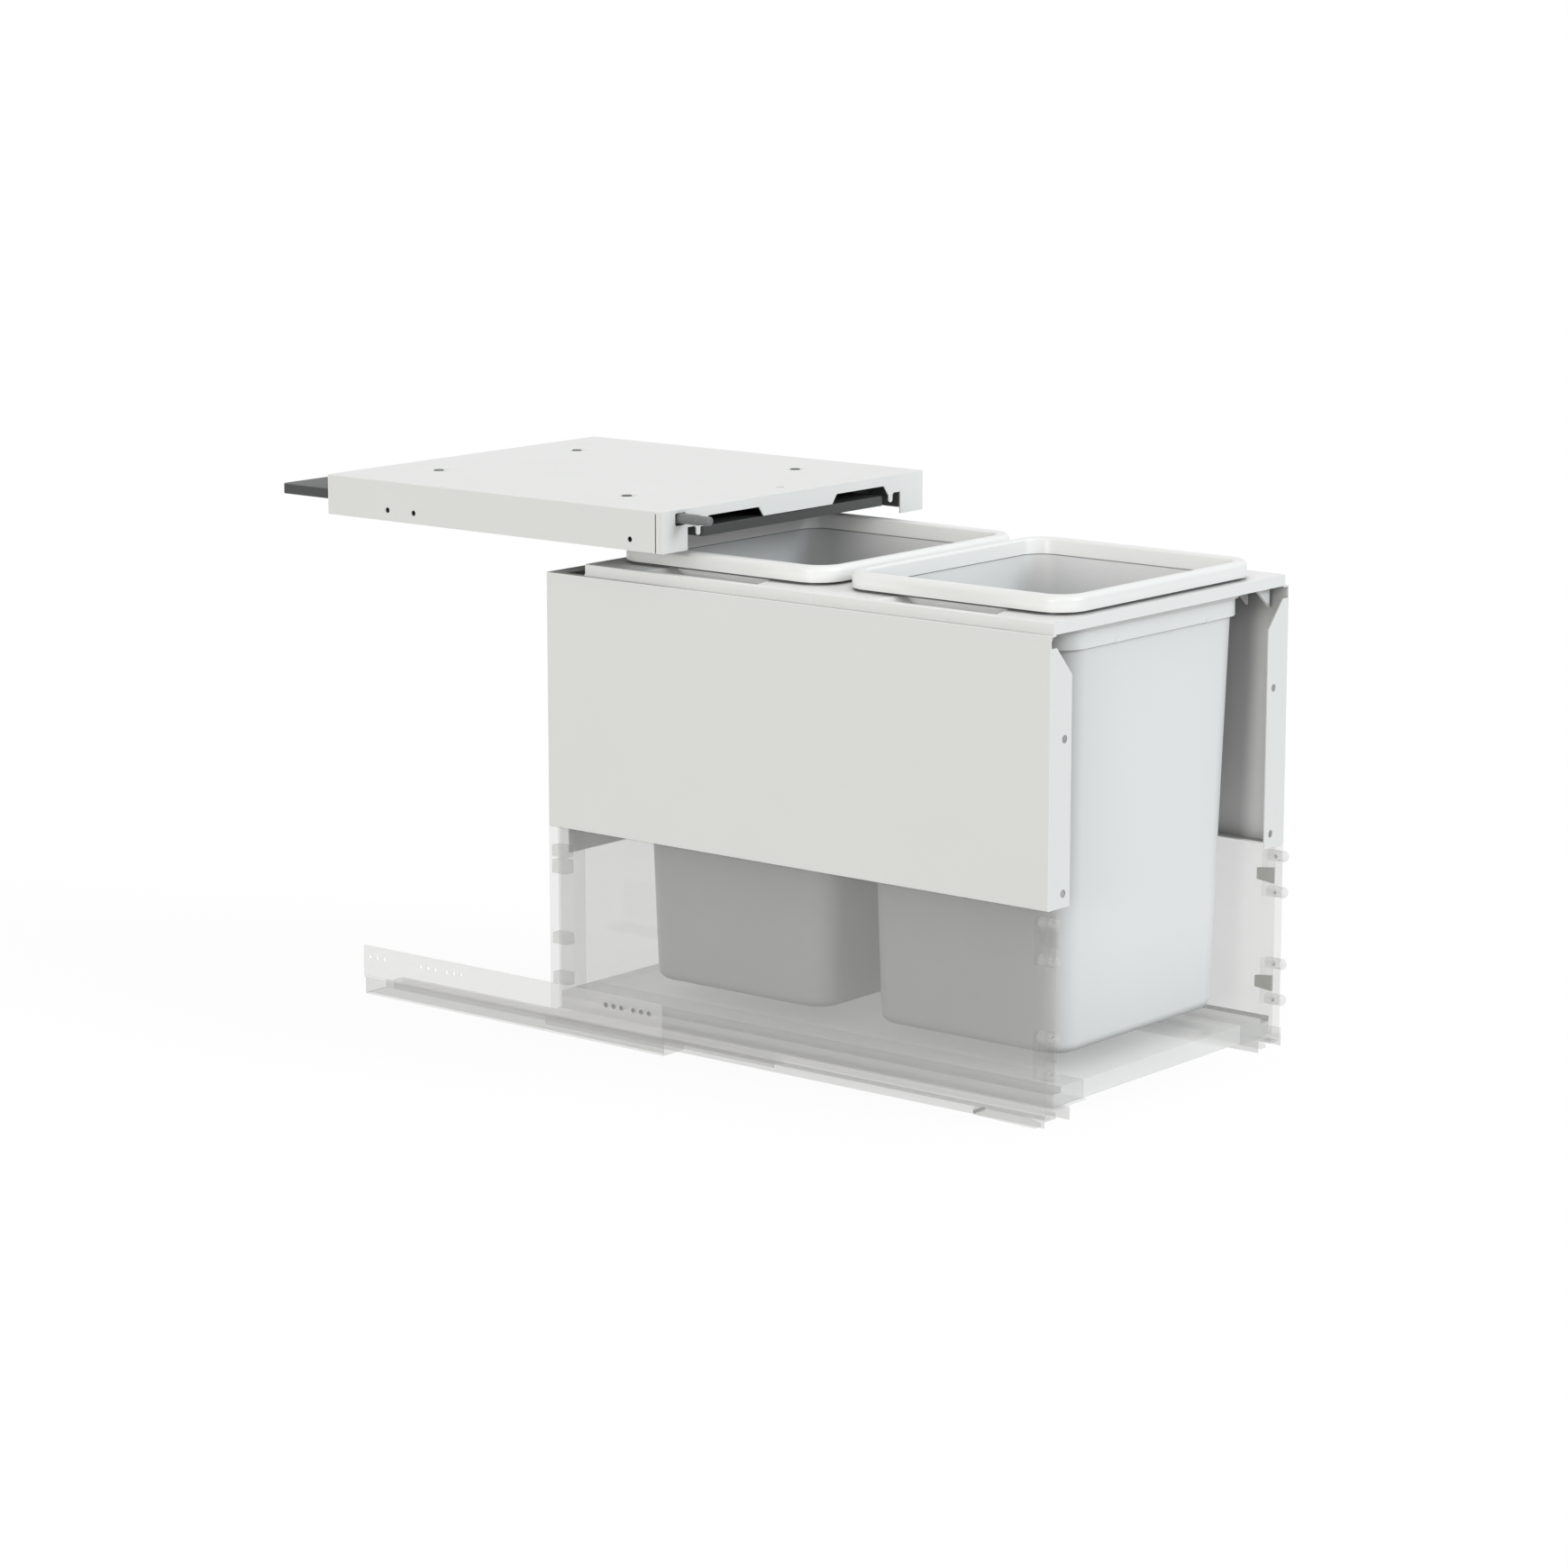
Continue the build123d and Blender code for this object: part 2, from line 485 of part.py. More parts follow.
with BuildPart() as bracket_screws:
    for z in dowel_z:
        with BuildSketch(across(DRAWER_FRONT)):
            with Locations((SCREW_X, z)):
                Circle(SCREW_HEAD[0])
        extrude(amount=-SCREW_HEAD[1])
    fillet(bracket_screws.faces().filter_by(Axis.Y).group_by(Axis.Y)[0].edges(), 0.7)
save_pair(bracket_screws.part, "bracket_screws")

# ---------------------------------------------------------------------------
# Raised sides and back in folded sheet
# ---------------------------------------------------------------------------
NOTCH_TOP = RAISED_TOP - 10.7            # the front flange stops short of the frame's ribs
NOTCH_RUN = 8.5
SLOPE_END = RAISED_TOP - 35.0
RAISED_FOOT = 11.5
BACK_TAB_HALF = DRAWER_HALF - 25.5
BACK_TAB_LOW = DRAWER_SIDE_TOP - 28.7
BACK_FLANGE = 14.0

with BuildPart() as raised_side:
    folded(
        [(DRAWER_HALF - RAISED_FOOT, DRAWER_SIDE_TOP), (DRAWER_HALF, DRAWER_SIDE_TOP),
         (DRAWER_HALF, RAISED_TOP), (DRAWER_HALF - RAISED_SEAT, RAISED_TOP)],
        SHEET, Side.LEFT, DRAWER_FRONT, DRAWER_DEPTH,
    )
    with BuildSketch(across(DRAWER_FRONT)):
        with BuildLine():
            Polyline(
                (DRAWER_HALF - SHEET / 2, DRAWER_SIDE_TOP), (DRAWER_HALF - SHEET / 2, NOTCH_TOP),
                (DRAWER_HALF - NOTCH_RUN, NOTCH_TOP), (DRAWER_HALF - FRONT_FLANGE, SLOPE_END),
                (DRAWER_HALF - FRONT_FLANGE, DRAWER_SIDE_TOP), close=True,
            )
        make_face()
        hole_x = DRAWER_HALF - FRONT_HOLE_INSET
        hole_z = DRAWER_SIDE_TOP + FRONT_HOLE_RISE
        with Locations((hole_x, hole_z), (hole_x, hole_z + 4 * GRID)):
            Circle(FRONT_HOLE_R, mode=Mode.SUBTRACT)
    extrude(amount=-SHEET)
save_pair(raised_side.part, "raised_side")

raised_inner = DRAWER_HALF - SHEET
with BuildPart() as raised_back_panel:
    slab((-raised_inner, raised_inner), (BACK_SHEET, DRAWER_REAR),
         (DRAWER_SIDE_TOP + SHEET, RAISED_TOP - SHEET))
    slab((-BACK_TAB_HALF, BACK_TAB_HALF), (BACK_SHEET, DRAWER_REAR),
         (BACK_TAB_LOW, DRAWER_SIDE_TOP + SHEET))
    flange_half = DRAWER_HALF - RAISED_SEAT - RUNNING
    slab((-flange_half, flange_half), (DRAWER_REAR - BACK_FLANGE, DRAWER_REAR),
         (RAISED_TOP - SHEET, RAISED_TOP))
    for side in (-1, 1):
        slab((side * (raised_inner - SHEET), side * raised_inner), (DRAWER_REAR - BACK_FLANGE, DRAWER_REAR),
             (DRAWER_SIDE_TOP + 2 * SHEET, RAISED_TOP - 2 * SHEET))
save(raised_back_panel.part, "raised_back_panel")

BACK_SCREW_HEAD = (3.5, 2.2, 1.2)        # radius, height and rounding
back_screw_z = (BACK_TAB_LOW + DRAWER_SIDE_TOP) / 2
with BuildPart() as back_panel_screws:
    with BuildSketch(across(DRAWER_REAR)):
        with Locations(*[(s * x, back_screw_z) for x in (60.0, BACK_TAB_HALF - 10) for s in (-1, 1)]):
            Circle(BACK_SCREW_HEAD[0])
    extrude(amount=-BACK_SCREW_HEAD[1])
    fillet(back_panel_screws.faces().filter_by(Axis.Y).group_by(Axis.Y)[-1].edges(), BACK_SCREW_HEAD[2])
save(back_panel_screws.part, "back_panel_screws")

# ---------------------------------------------------------------------------
# Bin frames: two alike, each with an opening for a bin and a finger scoop at each side
# ---------------------------------------------------------------------------
FRAME_PLATE = 3.0
FRAME_SKIRT = 3.0
FRAME_COLLAR = 2.5
FRAME_COLLAR_DEPTH = 15.0
FRAME_FIT = 0.5                          # gap between the frame's opening and the bin's skirt
FRAME_LIP = (1.0, 1.3)                   # how far the foot lip stands out, and its height
SCOOP_INNER = (53.0, 41.0)               # half lengths at the bin: above and below
SCOOP_OUTER = (64.0, 41.0)
SCOOP_SIDE = FRAME_HALF - 5.4
SCOOP_WALL = 2.2
SCOOP_BULGE = 4.0
RIB_GAUGE = 2.5
RIB = (24.5, 19.9)                       # width and height of the corner ribs
RIB_PLACES = (14.0, 36.0)                # behind the front of the frame
OPENING_HALF = (SKIRT_HALF[0] + FRAME_FIT, SKIRT_HALF[1] + FRAME_FIT)
frame_centres = [DRAWER_FRONT + FRAME_START + FRAME_LENGTH * (n + 0.5) for n in (0, 1)]


def scoop(side, centre_y, wall, x_inner, mode):
    """A finger scoop: a trough whose curved ends flare outwards from the bin."""
    low = FRAME_TOP - SCOOP_DEPTH - wall
    high = FRAME_TOP if wall else FRAME_TOP + 0.01
    ends = []
    for x, (above, below) in ((x_inner, SCOOP_INNER), (SCOOP_SIDE + wall, SCOOP_OUTER)):
        with BuildSketch(Plane((side * x, centre_y, 0), x_dir=(0, 1, 0), z_dir=(1, 0, 0))) as end:
            with BuildLine():
                SagittaArc((-above - wall, high), (-below - wall, low), SCOOP_BULGE)
                Line((-below - wall, low), (below + wall, low))
                SagittaArc((below + wall, low), (above + wall, high), SCOOP_BULGE)
                Line((above + wall, high), (-above - wall, high))
            make_face()
        ends.append(end.sketch)
    loft(ends, ruled=True, mode=mode)


def bin_frame(centre_y, with_ribs):
    """One frame half about centre_y."""
    y0 = centre_y - FRAME_LENGTH / 2
    y1 = centre_y + FRAME_LENGTH / 2
    inner_half = FRAME_HALF - FRAME_SKIRT
    with BuildPart() as frame:
        slab((-FRAME_HALF, FRAME_HALF), (y0, y1), (RAISED_TOP, FRAME_TOP))
        slab((-inner_half, inner_half), (y0 + FRAME_SKIRT, y1 - FRAME_SKIRT),
             (RAISED_TOP - 1, FRAME_TOP - FRAME_PLATE), mode=Mode.SUBTRACT)
        fillet(frame.faces().sort_by(Axis.Z)[-1].edges().filter_by(Axis.Y), 1.2)
        slab((-FRAME_HALF - FRAME_LIP[0], FRAME_HALF + FRAME_LIP[0]), (y0, y1),
             (RAISED_TOP, RAISED_TOP + FRAME_LIP[1]))
        slab((-inner_half, inner_half), (y0 + FRAME_SKIRT, y1 - FRAME_SKIRT),
             (RAISED_TOP - 1, RAISED_TOP + FRAME_LIP[1]), mode=Mode.SUBTRACT)
        collar_half = (OPENING_HALF[0] + FRAME_COLLAR, OPENING_HALF[1] + FRAME_COLLAR)
        rounded_column(collar_half, BIN_CORNER + 3, centre_y,
                       FRAME_TOP - FRAME_COLLAR_DEPTH, FRAME_COLLAR_DEPTH - 0.5)
        for side in (-1, 1):
            scoop(side, centre_y, SCOOP_WALL, OPENING_HALF[0] - 1, Mode.ADD)
        for side in (-1, 1):
            scoop(side, centre_y, 0, OPENING_HALF[0] - 4, Mode.SUBTRACT)
        rounded_column(OPENING_HALF, BIN_CORNER + 0.5, centre_y, FRAME_TOP - 60, 80, mode=Mode.SUBTRACT)
        if with_ribs:
            for side in (-1, 1):
                for rib_y in (y0 + RIB_PLACES[0], y0 + RIB_PLACES[1]):
                    outer = side * (DRAWER_HALF - RAISED_SEAT - RUNNING)
                    with BuildSketch(across(rib_y)):
                        with BuildLine():
                            Polyline(
                                (outer, RAISED_TOP + 1), (outer, RAISED_TOP - RIB[1]),
                                (outer - side * RIB[0], RAISED_TOP + 1), close=True,
                            )
                        make_face()
                    extrude(amount=-RIB_GAUGE)
                slab((side * (OPENING_HALF[0] + 8), side * (FRAME_HALF - 1)), (y0 + RIB_PLACES[0], y0 + RIB_PLACES[1] + RIB_GAUGE),
                     (RAISED_TOP + 1, FRAME_TOP - FRAME_PLATE))
    return frame.part


for name, centre_y in zip(("front_bin_frame", "rear_bin_frame"), frame_centres):
    save(bin_frame(centre_y, name.startswith("front")), name)

# ---------------------------------------------------------------------------
# Bins, and the rings that clip over their tops and hold a bag
# ---------------------------------------------------------------------------
BIN_EDGE = 9.0
BIN_FLOOR = 2.5
BIN_MOUTH_HALF = shrunk(BIN_HALF, BIN_WALL)
LEDGE_HALF = (RING_MOUTH_HALF[0] - 2.0, RING_MOUTH_HALF[1] - 1.0)
SKIRT_GAP = 0.25
RIM_EDGE = 4.5
RIM_INNER_EDGE = 2.5
FOOT_INSET = 4.8                         # the rim's foot stands back by this
NIBS_X = (-60.0, 72.0)
NIB = (6.0, 1.0, 3.0)

for name, centre_y in zip(("front_bin", "rear_bin"), frame_centres):
    with BuildPart() as bin_hollow:
        tapered_column(shrunk(BIN_FOOT_HALF, BIN_WALL), BIN_CORNER - BIN_WALL, BIN_MOUTH_HALF,
                       BIN_CORNER - BIN_WALL, centre_y, BIN_BOTTOM + BIN_FLOOR, SEAT_TOP)
        fillet(bin_hollow.faces().sort_by(Axis.Z)[0].edges(), BIN_EDGE - BIN_WALL)
    with BuildPart() as bin_body:
        tapered_column(BIN_FOOT_HALF, BIN_CORNER, BIN_HALF, BIN_CORNER, centre_y, BIN_BOTTOM, SEAT_TOP)
        fillet(bin_body.faces().sort_by(Axis.Z)[0].edges(), BIN_EDGE)
        add(bin_hollow.part, mode=Mode.SUBTRACT)
    save(bin_body.part, name)

    with BuildPart() as bag_ring:
        rounded_column(RING_HALF, RING_CORNER, centre_y, SEAT_TOP, RING_HEIGHT)
        fillet(bag_ring.faces().sort_by(Axis.Z)[-1].edges(), RIM_EDGE)
        rounded_column(SKIRT_HALF, BIN_CORNER + 1, centre_y, SEAT_TOP - SKIRT_DEPTH, SKIRT_DEPTH)
        rounded_column(shrunk(RING_HALF, FOOT_INSET), RING_CORNER - FOOT_INSET, centre_y,
                       FRAME_TOP, BIN_LIFT_GAP)
        rounded_column(shrunk(BIN_HALF, -SKIRT_GAP), BIN_CORNER + SKIRT_GAP, centre_y,
                       SEAT_TOP - SKIRT_DEPTH - 1, SKIRT_DEPTH + 1, mode=Mode.SUBTRACT)
        tapered_column(LEDGE_HALF, BIN_CORNER - 3, RING_MOUTH_HALF, BIN_CORNER - 5, centre_y,
                       SEAT_TOP - 0.01, RING_TOP + 0.01, mode=Mode.SUBTRACT)
        fillet(bag_ring.faces().sort_by(Axis.Z)[-1].inner_wires().edges(), RIM_INNER_EDGE)
        for x in NIBS_X:
            slab((x - NIB[0] / 2, x + NIB[0] / 2),
                 (centre_y - SKIRT_HALF[1] - NIB[1] / 2, centre_y - SKIRT_HALF[1] + NIB[1]),
                 (SEAT_TOP - SKIRT_DEPTH, SEAT_TOP - SKIRT_DEPTH + NIB[2]))
    save(bag_ring.part, name.replace("_bin", "_bag_ring"))

# ---------------------------------------------------------------------------
# Lid mechanism: guides in the housing, slide bars with slanted slots, lid hangers
# ---------------------------------------------------------------------------
GUIDE_LOW = COVER_BOTTOM + 3.8
GUIDE_Y = (COVER_SEAM[1] + 0.5, COVER_DEPTH - 7.4)
GUIDE_FLANGE = GUIDE_INSET - SHEET       # reaches the housing's side wall
GUIDE_LIP = (12.0, 6.0)
LID_PIN_R = 2.5
LID_PIN_Z = LID_TOP + 9.5                # pin height with the lid up
LID_PIN_Y = (95.0, 330.0)
SLOT_R = LID_PIN_R + RUNNING
BAR_X = (BAR_INNER, BAR_INNER + 6.0)
BAR_Z = (GUIDE_LOW + SHEET + RUNNING, COVER_CEILING - SHEET - RUNNING)
BUSH_Y = (COVER_SEAM[1] + 1.5, COVER_SEAM[1] + 19.5)
BLOCK_Y = (BUSH_Y[1] + 1.0, BUSH_Y[1] + 17.0)
BLOCK_TOP = COVER_CEILING - 1.5
BAR_Y = (BLOCK_Y[0], GUIDE_Y[1] - PLUNGER_REACH - 1.0)
CROSS_Y = (250.0, 262.0)
CROSS_Z = (LID_TOP + 2.0, LID_TOP + 12.0)
SPRING_Z = (CROSS_Z[0] + CROSS_Z[1]) / 2
STOP_Y = 340.0
ROD_R = 2.5
SPRING_R = 4.4
SPRING_WIRE_R = 0.6
SPRING_TURNS = 12

with BuildPart() as lid_guide:
    folded(
        [(GUIDE_INNER + GUIDE_LIP[0], GUIDE_LOW + GUIDE_LIP[1]), (GUIDE_INNER + GUIDE_LIP[0], GUIDE_LOW),
         (GUIDE_INNER, GUIDE_LOW), (GUIDE_INNER, COVER_CEILING),
         (GUIDE_INNER + GUIDE_FLANGE, COVER_CEILING)],
        SHEET, Side.RIGHT, GUIDE_Y[0], GUIDE_Y[1] - GUIDE_Y[0],
    )
    for pin_y in LID_PIN_Y:
        with BuildSketch(Plane.YZ.offset(GUIDE_INNER - 1)):
            with Locations((pin_y, LID_PIN_Z - LID_DROP / 2)):
                SlotCenterToCenter(LID_DROP, 2 * SLOT_R, rotation=90)
        extrude(amount=SHEET + 2, mode=Mode.SUBTRACT)
    slab((GUIDE_INNER - 1, GUIDE_INNER + SHEET + 0.1),
         (CROSS_Y[0] - 1.5, CROSS_Y[1] + PLUNGER_REACH + 1.5),
         (CROSS_Z[0] - 1, CROSS_Z[1] + 1), mode=Mode.SUBTRACT)
save(lid_guide.part, "right_lid_guide")

with BuildPart() as left_lid_guide:
    add(mirror(lid_guide.part, about=Plane.YZ))
    slab((-GUIDE_INNER - SHEET - 0.1, -GUIDE_INNER + 1), (GUIDE_Y[0] - 1, BLOCK_Y[1] + PLUNGER_REACH + 2),
         (PLUNGER_Z - PLUNGER_R - 3, COVER_CEILING + 1), mode=Mode.SUBTRACT)
    slab((-GUIDE_INNER - GUIDE_FLANGE - 1, -GUIDE_INNER + 1),
         (GUIDE_Y[0] - 1, BLOCK_Y[1] + PLUNGER_REACH + 2),
         (COVER_CEILING - SHEET - 0.1, COVER_CEILING + 1), mode=Mode.SUBTRACT)
save(left_lid_guide.part, "left_lid_guide")

with BuildPart() as slide_bar:
    slab(BAR_X, BAR_Y, BAR_Z)
    for pin_y in LID_PIN_Y:
        with BuildSketch(Plane.YZ.offset(BAR_X[0] - 1)):
            with BuildLine():
                Line((pin_y, LID_PIN_Z), (pin_y - PLUNGER_REACH, LID_PIN_Z - LID_DROP))
            trace(line_width=2 * SLOT_R)
            with Locations((pin_y, LID_PIN_Z), (pin_y - PLUNGER_REACH, LID_PIN_Z - LID_DROP)):
                Circle(SLOT_R)
        extrude(amount=BAR_X[1] - BAR_X[0] + 2, mode=Mode.SUBTRACT)
save_pair(slide_bar.part, "slide_bar")

with BuildPart() as slide_cross_bar:
    slab((-BAR_X[0], BAR_X[0]), CROSS_Y, CROSS_Z)
    with Locations(Location((0, CROSS_Y[1], SPRING_Z), (90, 0, 0))):
        Cylinder(ROD_R, 2 * (CROSS_Y[1] - CROSS_Y[0]) - 6, mode=Mode.SUBTRACT)
save(slide_cross_bar.part, "slide_cross_bar")

with BuildPart() as spring_rod:
    with BuildSketch(across(CROSS_Y[0] + 3)):
        with Locations((0, SPRING_Z)):
            Circle(ROD_R)
    extrude(amount=-(STOP_Y + 10 - CROSS_Y[0] - 3))
save(spring_rod.part, "spring_rod")

with BuildPart() as lid_return_spring:
    coil_length = STOP_Y - CROSS_Y[1] - 2 * SPRING_WIRE_R - 2 * RUNNING
    coil_start = (0, CROSS_Y[1] + SPRING_WIRE_R + RUNNING, SPRING_Z)
    with BuildLine():
        wire = Helix(coil_length / SPRING_TURNS, coil_length, SPRING_R,
                     center=coil_start, direction=(0, 1, 0))
    with BuildSketch(Plane(wire @ 0, z_dir=wire % 0)):
        Circle(SPRING_WIRE_R)
    sweep(path=wire, is_frenet=True)
save(lid_return_spring.part, "lid_return_spring")

with BuildPart() as spring_stop:
    slab((-9, 9), (STOP_Y, STOP_Y + 2), (CROSS_Z[0] + 0.5, COVER_CEILING))
    slab((-9, 9), (STOP_Y, STOP_Y + 16), (COVER_CEILING - SHEET, COVER_CEILING))
    with Locations(Location((0, STOP_Y, SPRING_Z), (90, 0, 0))):
        Cylinder(ROD_R + RUNNING, 8, mode=Mode.SUBTRACT)
save(spring_stop.part, "spring_stop")

with BuildPart() as plunger_bush:
    slab((PLUNGER_X - PLUNGER_R - 5.35, PLUNGER_X + PLUNGER_R + 3.35), BUSH_Y, (PLUNGER_Z - PLUNGER_R - 2.5, COVER_CEILING))
    with Locations(Location((PLUNGER_X, BUSH_Y[0], PLUNGER_Z), (90, 0, 0))):
        Cylinder(PLUNGER_R + RUNNING, 60, mode=Mode.SUBTRACT)
save(plunger_bush.part, "plunger_bush")

TIP_R = 4.0
TIP_LENGTH = 13.5
TIP_ROUND = 1.6
with BuildPart() as lid_plunger:
    with BuildSketch(Plane((PLUNGER_X, 0, PLUNGER_Z), x_dir=(1, 0, 0), z_dir=(0, 0, 1))):
        with BuildLine():
            Polyline(
                (0, -PLUNGER_REACH), (TIP_R, -PLUNGER_REACH),
                (TIP_R + 0.2, -PLUNGER_REACH + TIP_LENGTH - 1.5),
                (PLUNGER_R, -PLUNGER_REACH + TIP_LENGTH), (PLUNGER_R, BLOCK_Y[0]),
                (SHANK_R, BLOCK_Y[0]), (SHANK_R, BLOCK_Y[1] - 4),
                (0, BLOCK_Y[1] - 4), close=True,
            )
        make_face()
    revolve(axis=Axis((PLUNGER_X, 0, PLUNGER_Z), (0, 1, 0)))
    fillet(lid_plunger.faces().sort_by(Axis.Y)[0].edges(), TIP_ROUND)
save(lid_plunger.part, "lid_plunger")

with BuildPart() as plunger_block:
    slab((-BAR_INNER, PLUNGER_X + SHANK_R + 2.55), BLOCK_Y, (PLUNGER_Z - PLUNGER_R - 1, BLOCK_TOP))
    with Locations(Location((PLUNGER_X, BLOCK_Y[0], PLUNGER_Z), (90, 0, 0))):
        Cylinder(SHANK_R, 2 * (BLOCK_Y[1] - BLOCK_Y[0] - 4), mode=Mode.SUBTRACT)
save(plunger_block.part, "plunger_block")

with BuildPart() as lid_plate:
    with BuildSketch(Plane.XY.offset(LID_RAISED)):
        with BuildLine():
            Polyline(
                (-LID_NOSE_HALF, LID_FRONT), (LID_NOSE_HALF, LID_FRONT), (LID_NOSE_HALF, LID_NOSE),
                (LID_HALF, LID_NOSE), (LID_HALF, LID_REAR), (-LID_HALF, LID_REAR), (-LID_HALF, LID_NOSE),
                (-LID_NOSE_HALF, LID_NOSE), close=True,
            )
        make_face()
    extrude(amount=LID_THICKNESS)
    fillet(lid_plate.edges().filter_by(Axis.Z).group_by(Axis.Y)[-1], 7)
    fillet(lid_plate.edges().filter_by(Axis.Z).group_by(Axis.Y)[0], 3)
    fillet(lid_plate.faces().sort_by(Axis.Z)[-1].edges(), 1)
save(lid_plate.part, "lid_plate")

HANGER = (3.0, 16.0)                     # thickness and length
with BuildPart() as lid_hangers:
    for pin_y in LID_PIN_Y:
        slab((LID_HALF - HANGER[0] - 1, LID_HALF - 1), (pin_y - HANGER[1] / 2, pin_y + HANGER[1] / 2),
             (LID_TOP, LID_PIN_Z + 5))
save_pair(lid_hangers.part, "lid_hangers")

with BuildPart() as lid_pins:
    for pin_y in LID_PIN_Y:
        with BuildSketch(Plane.YZ.offset(LID_HALF - 1)):
            with Locations((pin_y, LID_PIN_Z)):
                Circle(LID_PIN_R)
        extrude(amount=BAR_X[1] + 1 - LID_HALF + 1)
save_pair(lid_pins.part, "lid_pins")
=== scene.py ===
# %% [markdown]
# # A pull-out waste cabinet, dressed for the camera
#
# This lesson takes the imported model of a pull-out waste cabinet and gives each of its parts the
# surface that the real one has. The real object is a drawer on steel runners that carries two
# plastic bins under a white steel cover. Its drawer sides, boards and rails are drawn see-through,
# so that the fixings behind them show.
#
# The model arrives as a fixed frame. Every length here is in metres, x runs across the cabinet,
# y runs into it from its front edge, and z points up.

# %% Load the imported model
import math

import bpy
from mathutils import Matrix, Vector


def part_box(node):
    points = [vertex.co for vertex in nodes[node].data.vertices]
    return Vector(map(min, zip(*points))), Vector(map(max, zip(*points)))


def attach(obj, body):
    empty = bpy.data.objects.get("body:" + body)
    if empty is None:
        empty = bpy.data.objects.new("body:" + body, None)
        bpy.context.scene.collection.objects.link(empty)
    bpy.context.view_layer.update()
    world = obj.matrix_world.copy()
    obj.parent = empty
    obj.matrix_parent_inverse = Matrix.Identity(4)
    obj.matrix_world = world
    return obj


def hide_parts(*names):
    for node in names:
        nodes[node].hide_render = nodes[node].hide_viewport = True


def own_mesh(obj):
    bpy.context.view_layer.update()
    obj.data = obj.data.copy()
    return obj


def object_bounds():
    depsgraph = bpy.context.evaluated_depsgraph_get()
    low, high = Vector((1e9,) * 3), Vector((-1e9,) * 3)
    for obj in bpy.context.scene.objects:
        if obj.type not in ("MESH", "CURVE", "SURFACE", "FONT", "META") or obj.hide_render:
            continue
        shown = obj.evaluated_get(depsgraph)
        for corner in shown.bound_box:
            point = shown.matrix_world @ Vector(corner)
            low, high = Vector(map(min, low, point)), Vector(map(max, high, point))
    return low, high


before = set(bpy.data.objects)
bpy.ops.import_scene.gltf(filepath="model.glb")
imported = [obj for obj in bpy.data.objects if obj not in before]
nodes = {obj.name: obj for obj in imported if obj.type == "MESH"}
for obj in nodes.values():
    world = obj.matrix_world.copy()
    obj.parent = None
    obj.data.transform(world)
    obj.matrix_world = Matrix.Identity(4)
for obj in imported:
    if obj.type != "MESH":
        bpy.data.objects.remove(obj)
cad_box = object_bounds()
scene = bpy.context.scene

# %% [markdown]
# ## The camera
#
# The photograph was taken from the front left and a little above. A long lens keeps the edges
# nearly parallel, so the camera stands about four metres away. A direction is easier to read
# than a rotation, so the camera is turned by the line that it looks along.

# %% Camera
CAMERA_PLACE = Vector((-3.1277, -2.5398, 0.9809))
CAMERA_AZIMUTH = math.radians(-50.76)
CAMERA_ELEVATION = math.radians(11.26)
LENS_MM = 105.71
SENSOR_MM = 36.0


def direction(azimuth, elevation):
    """The unit vector from the object towards a viewer or a lamp."""
    return Vector((
        math.sin(azimuth) * math.cos(elevation),
        -math.cos(azimuth) * math.cos(elevation),
        math.sin(elevation),
    ))


def aim(thing, towards):
    """Turns a camera or lamp so that it looks along a line."""
    thing.rotation_mode = "QUATERNION"
    thing.rotation_quaternion = towards.to_track_quat("-Z", "Y")


camera_data = bpy.data.cameras.new("camera")
camera_data.lens = LENS_MM
camera_data.sensor_width = camera_data.sensor_height = SENSOR_MM
camera_data.clip_end = 50.0
camera = bpy.data.objects.new("camera", camera_data)
camera.location = CAMERA_PLACE
aim(camera, -direction(CAMERA_AZIMUTH, CAMERA_ELEVATION))
scene.collection.objects.link(camera)
scene.camera = camera
print("camera", [round(v, 3) for v in camera.location])

# %% [markdown]
# ## The light
#
# The picture has a strong even fill, a soft warm light from low on the left, and a cooler one
# from above the front. Both lamps are suns with a wide disc, so their shadows have soft edges.
# The world gives the fill. Rays from the camera, and those that reflect or pass through clear
# plastic, see plain white instead, so the background is white without more light on the object.

# %% Lamps and world
# Each lamp: where its light comes from, its strength, its colour and the width of its disc
LAMPS = {
    "warm_light": (Vector((-0.97, -0.20, 0.13)), 0.84, (1.0, 0.985, 0.95), math.radians(14.0)),
    "cool_light": (Vector((0.25, -0.88, 0.40)), 1.06, (0.86, 0.95, 1.0), math.radians(20.0)),
}
FILL_COLOUR = (1.0, 1.0, 0.985, 1.0)
FILL_STRENGTH = 0.72
WHITE = (1.0, 1.0, 1.0, 1.0)
CLEAR_FACES = 48                             # how many see-through faces a ray may cross


def maths(tree, operation, first, second):
    """A Math node whose two inputs are sockets or plain numbers."""
    node = tree.nodes.new("ShaderNodeMath")
    node.operation = operation
    for socket, value in zip(node.inputs, (first, second)):
        if isinstance(value, (int, float)):
            socket.default_value = value
        else:
            tree.links.new(value, socket)
    return node.outputs[0]


def seen_directly(tree):
    """A mask that is 1 for rays from the camera, from a mirror or through clear plastic."""
    path = tree.nodes.new("ShaderNodeLightPath").outputs
    return maths(tree, "MAXIMUM",
                 maths(tree, "MAXIMUM", path["Is Camera Ray"], path["Is Glossy Ray"]),
                 path["Is Transmission Ray"])


for name, (came_from, strength, colour, disc) in LAMPS.items():
    sun = bpy.data.lights.new(name, "SUN")
    sun.energy = strength
    sun.color = colour
    sun.angle = disc
    lamp = bpy.data.objects.new(name, sun)
    aim(lamp, -came_from)
    scene.collection.objects.link(lamp)

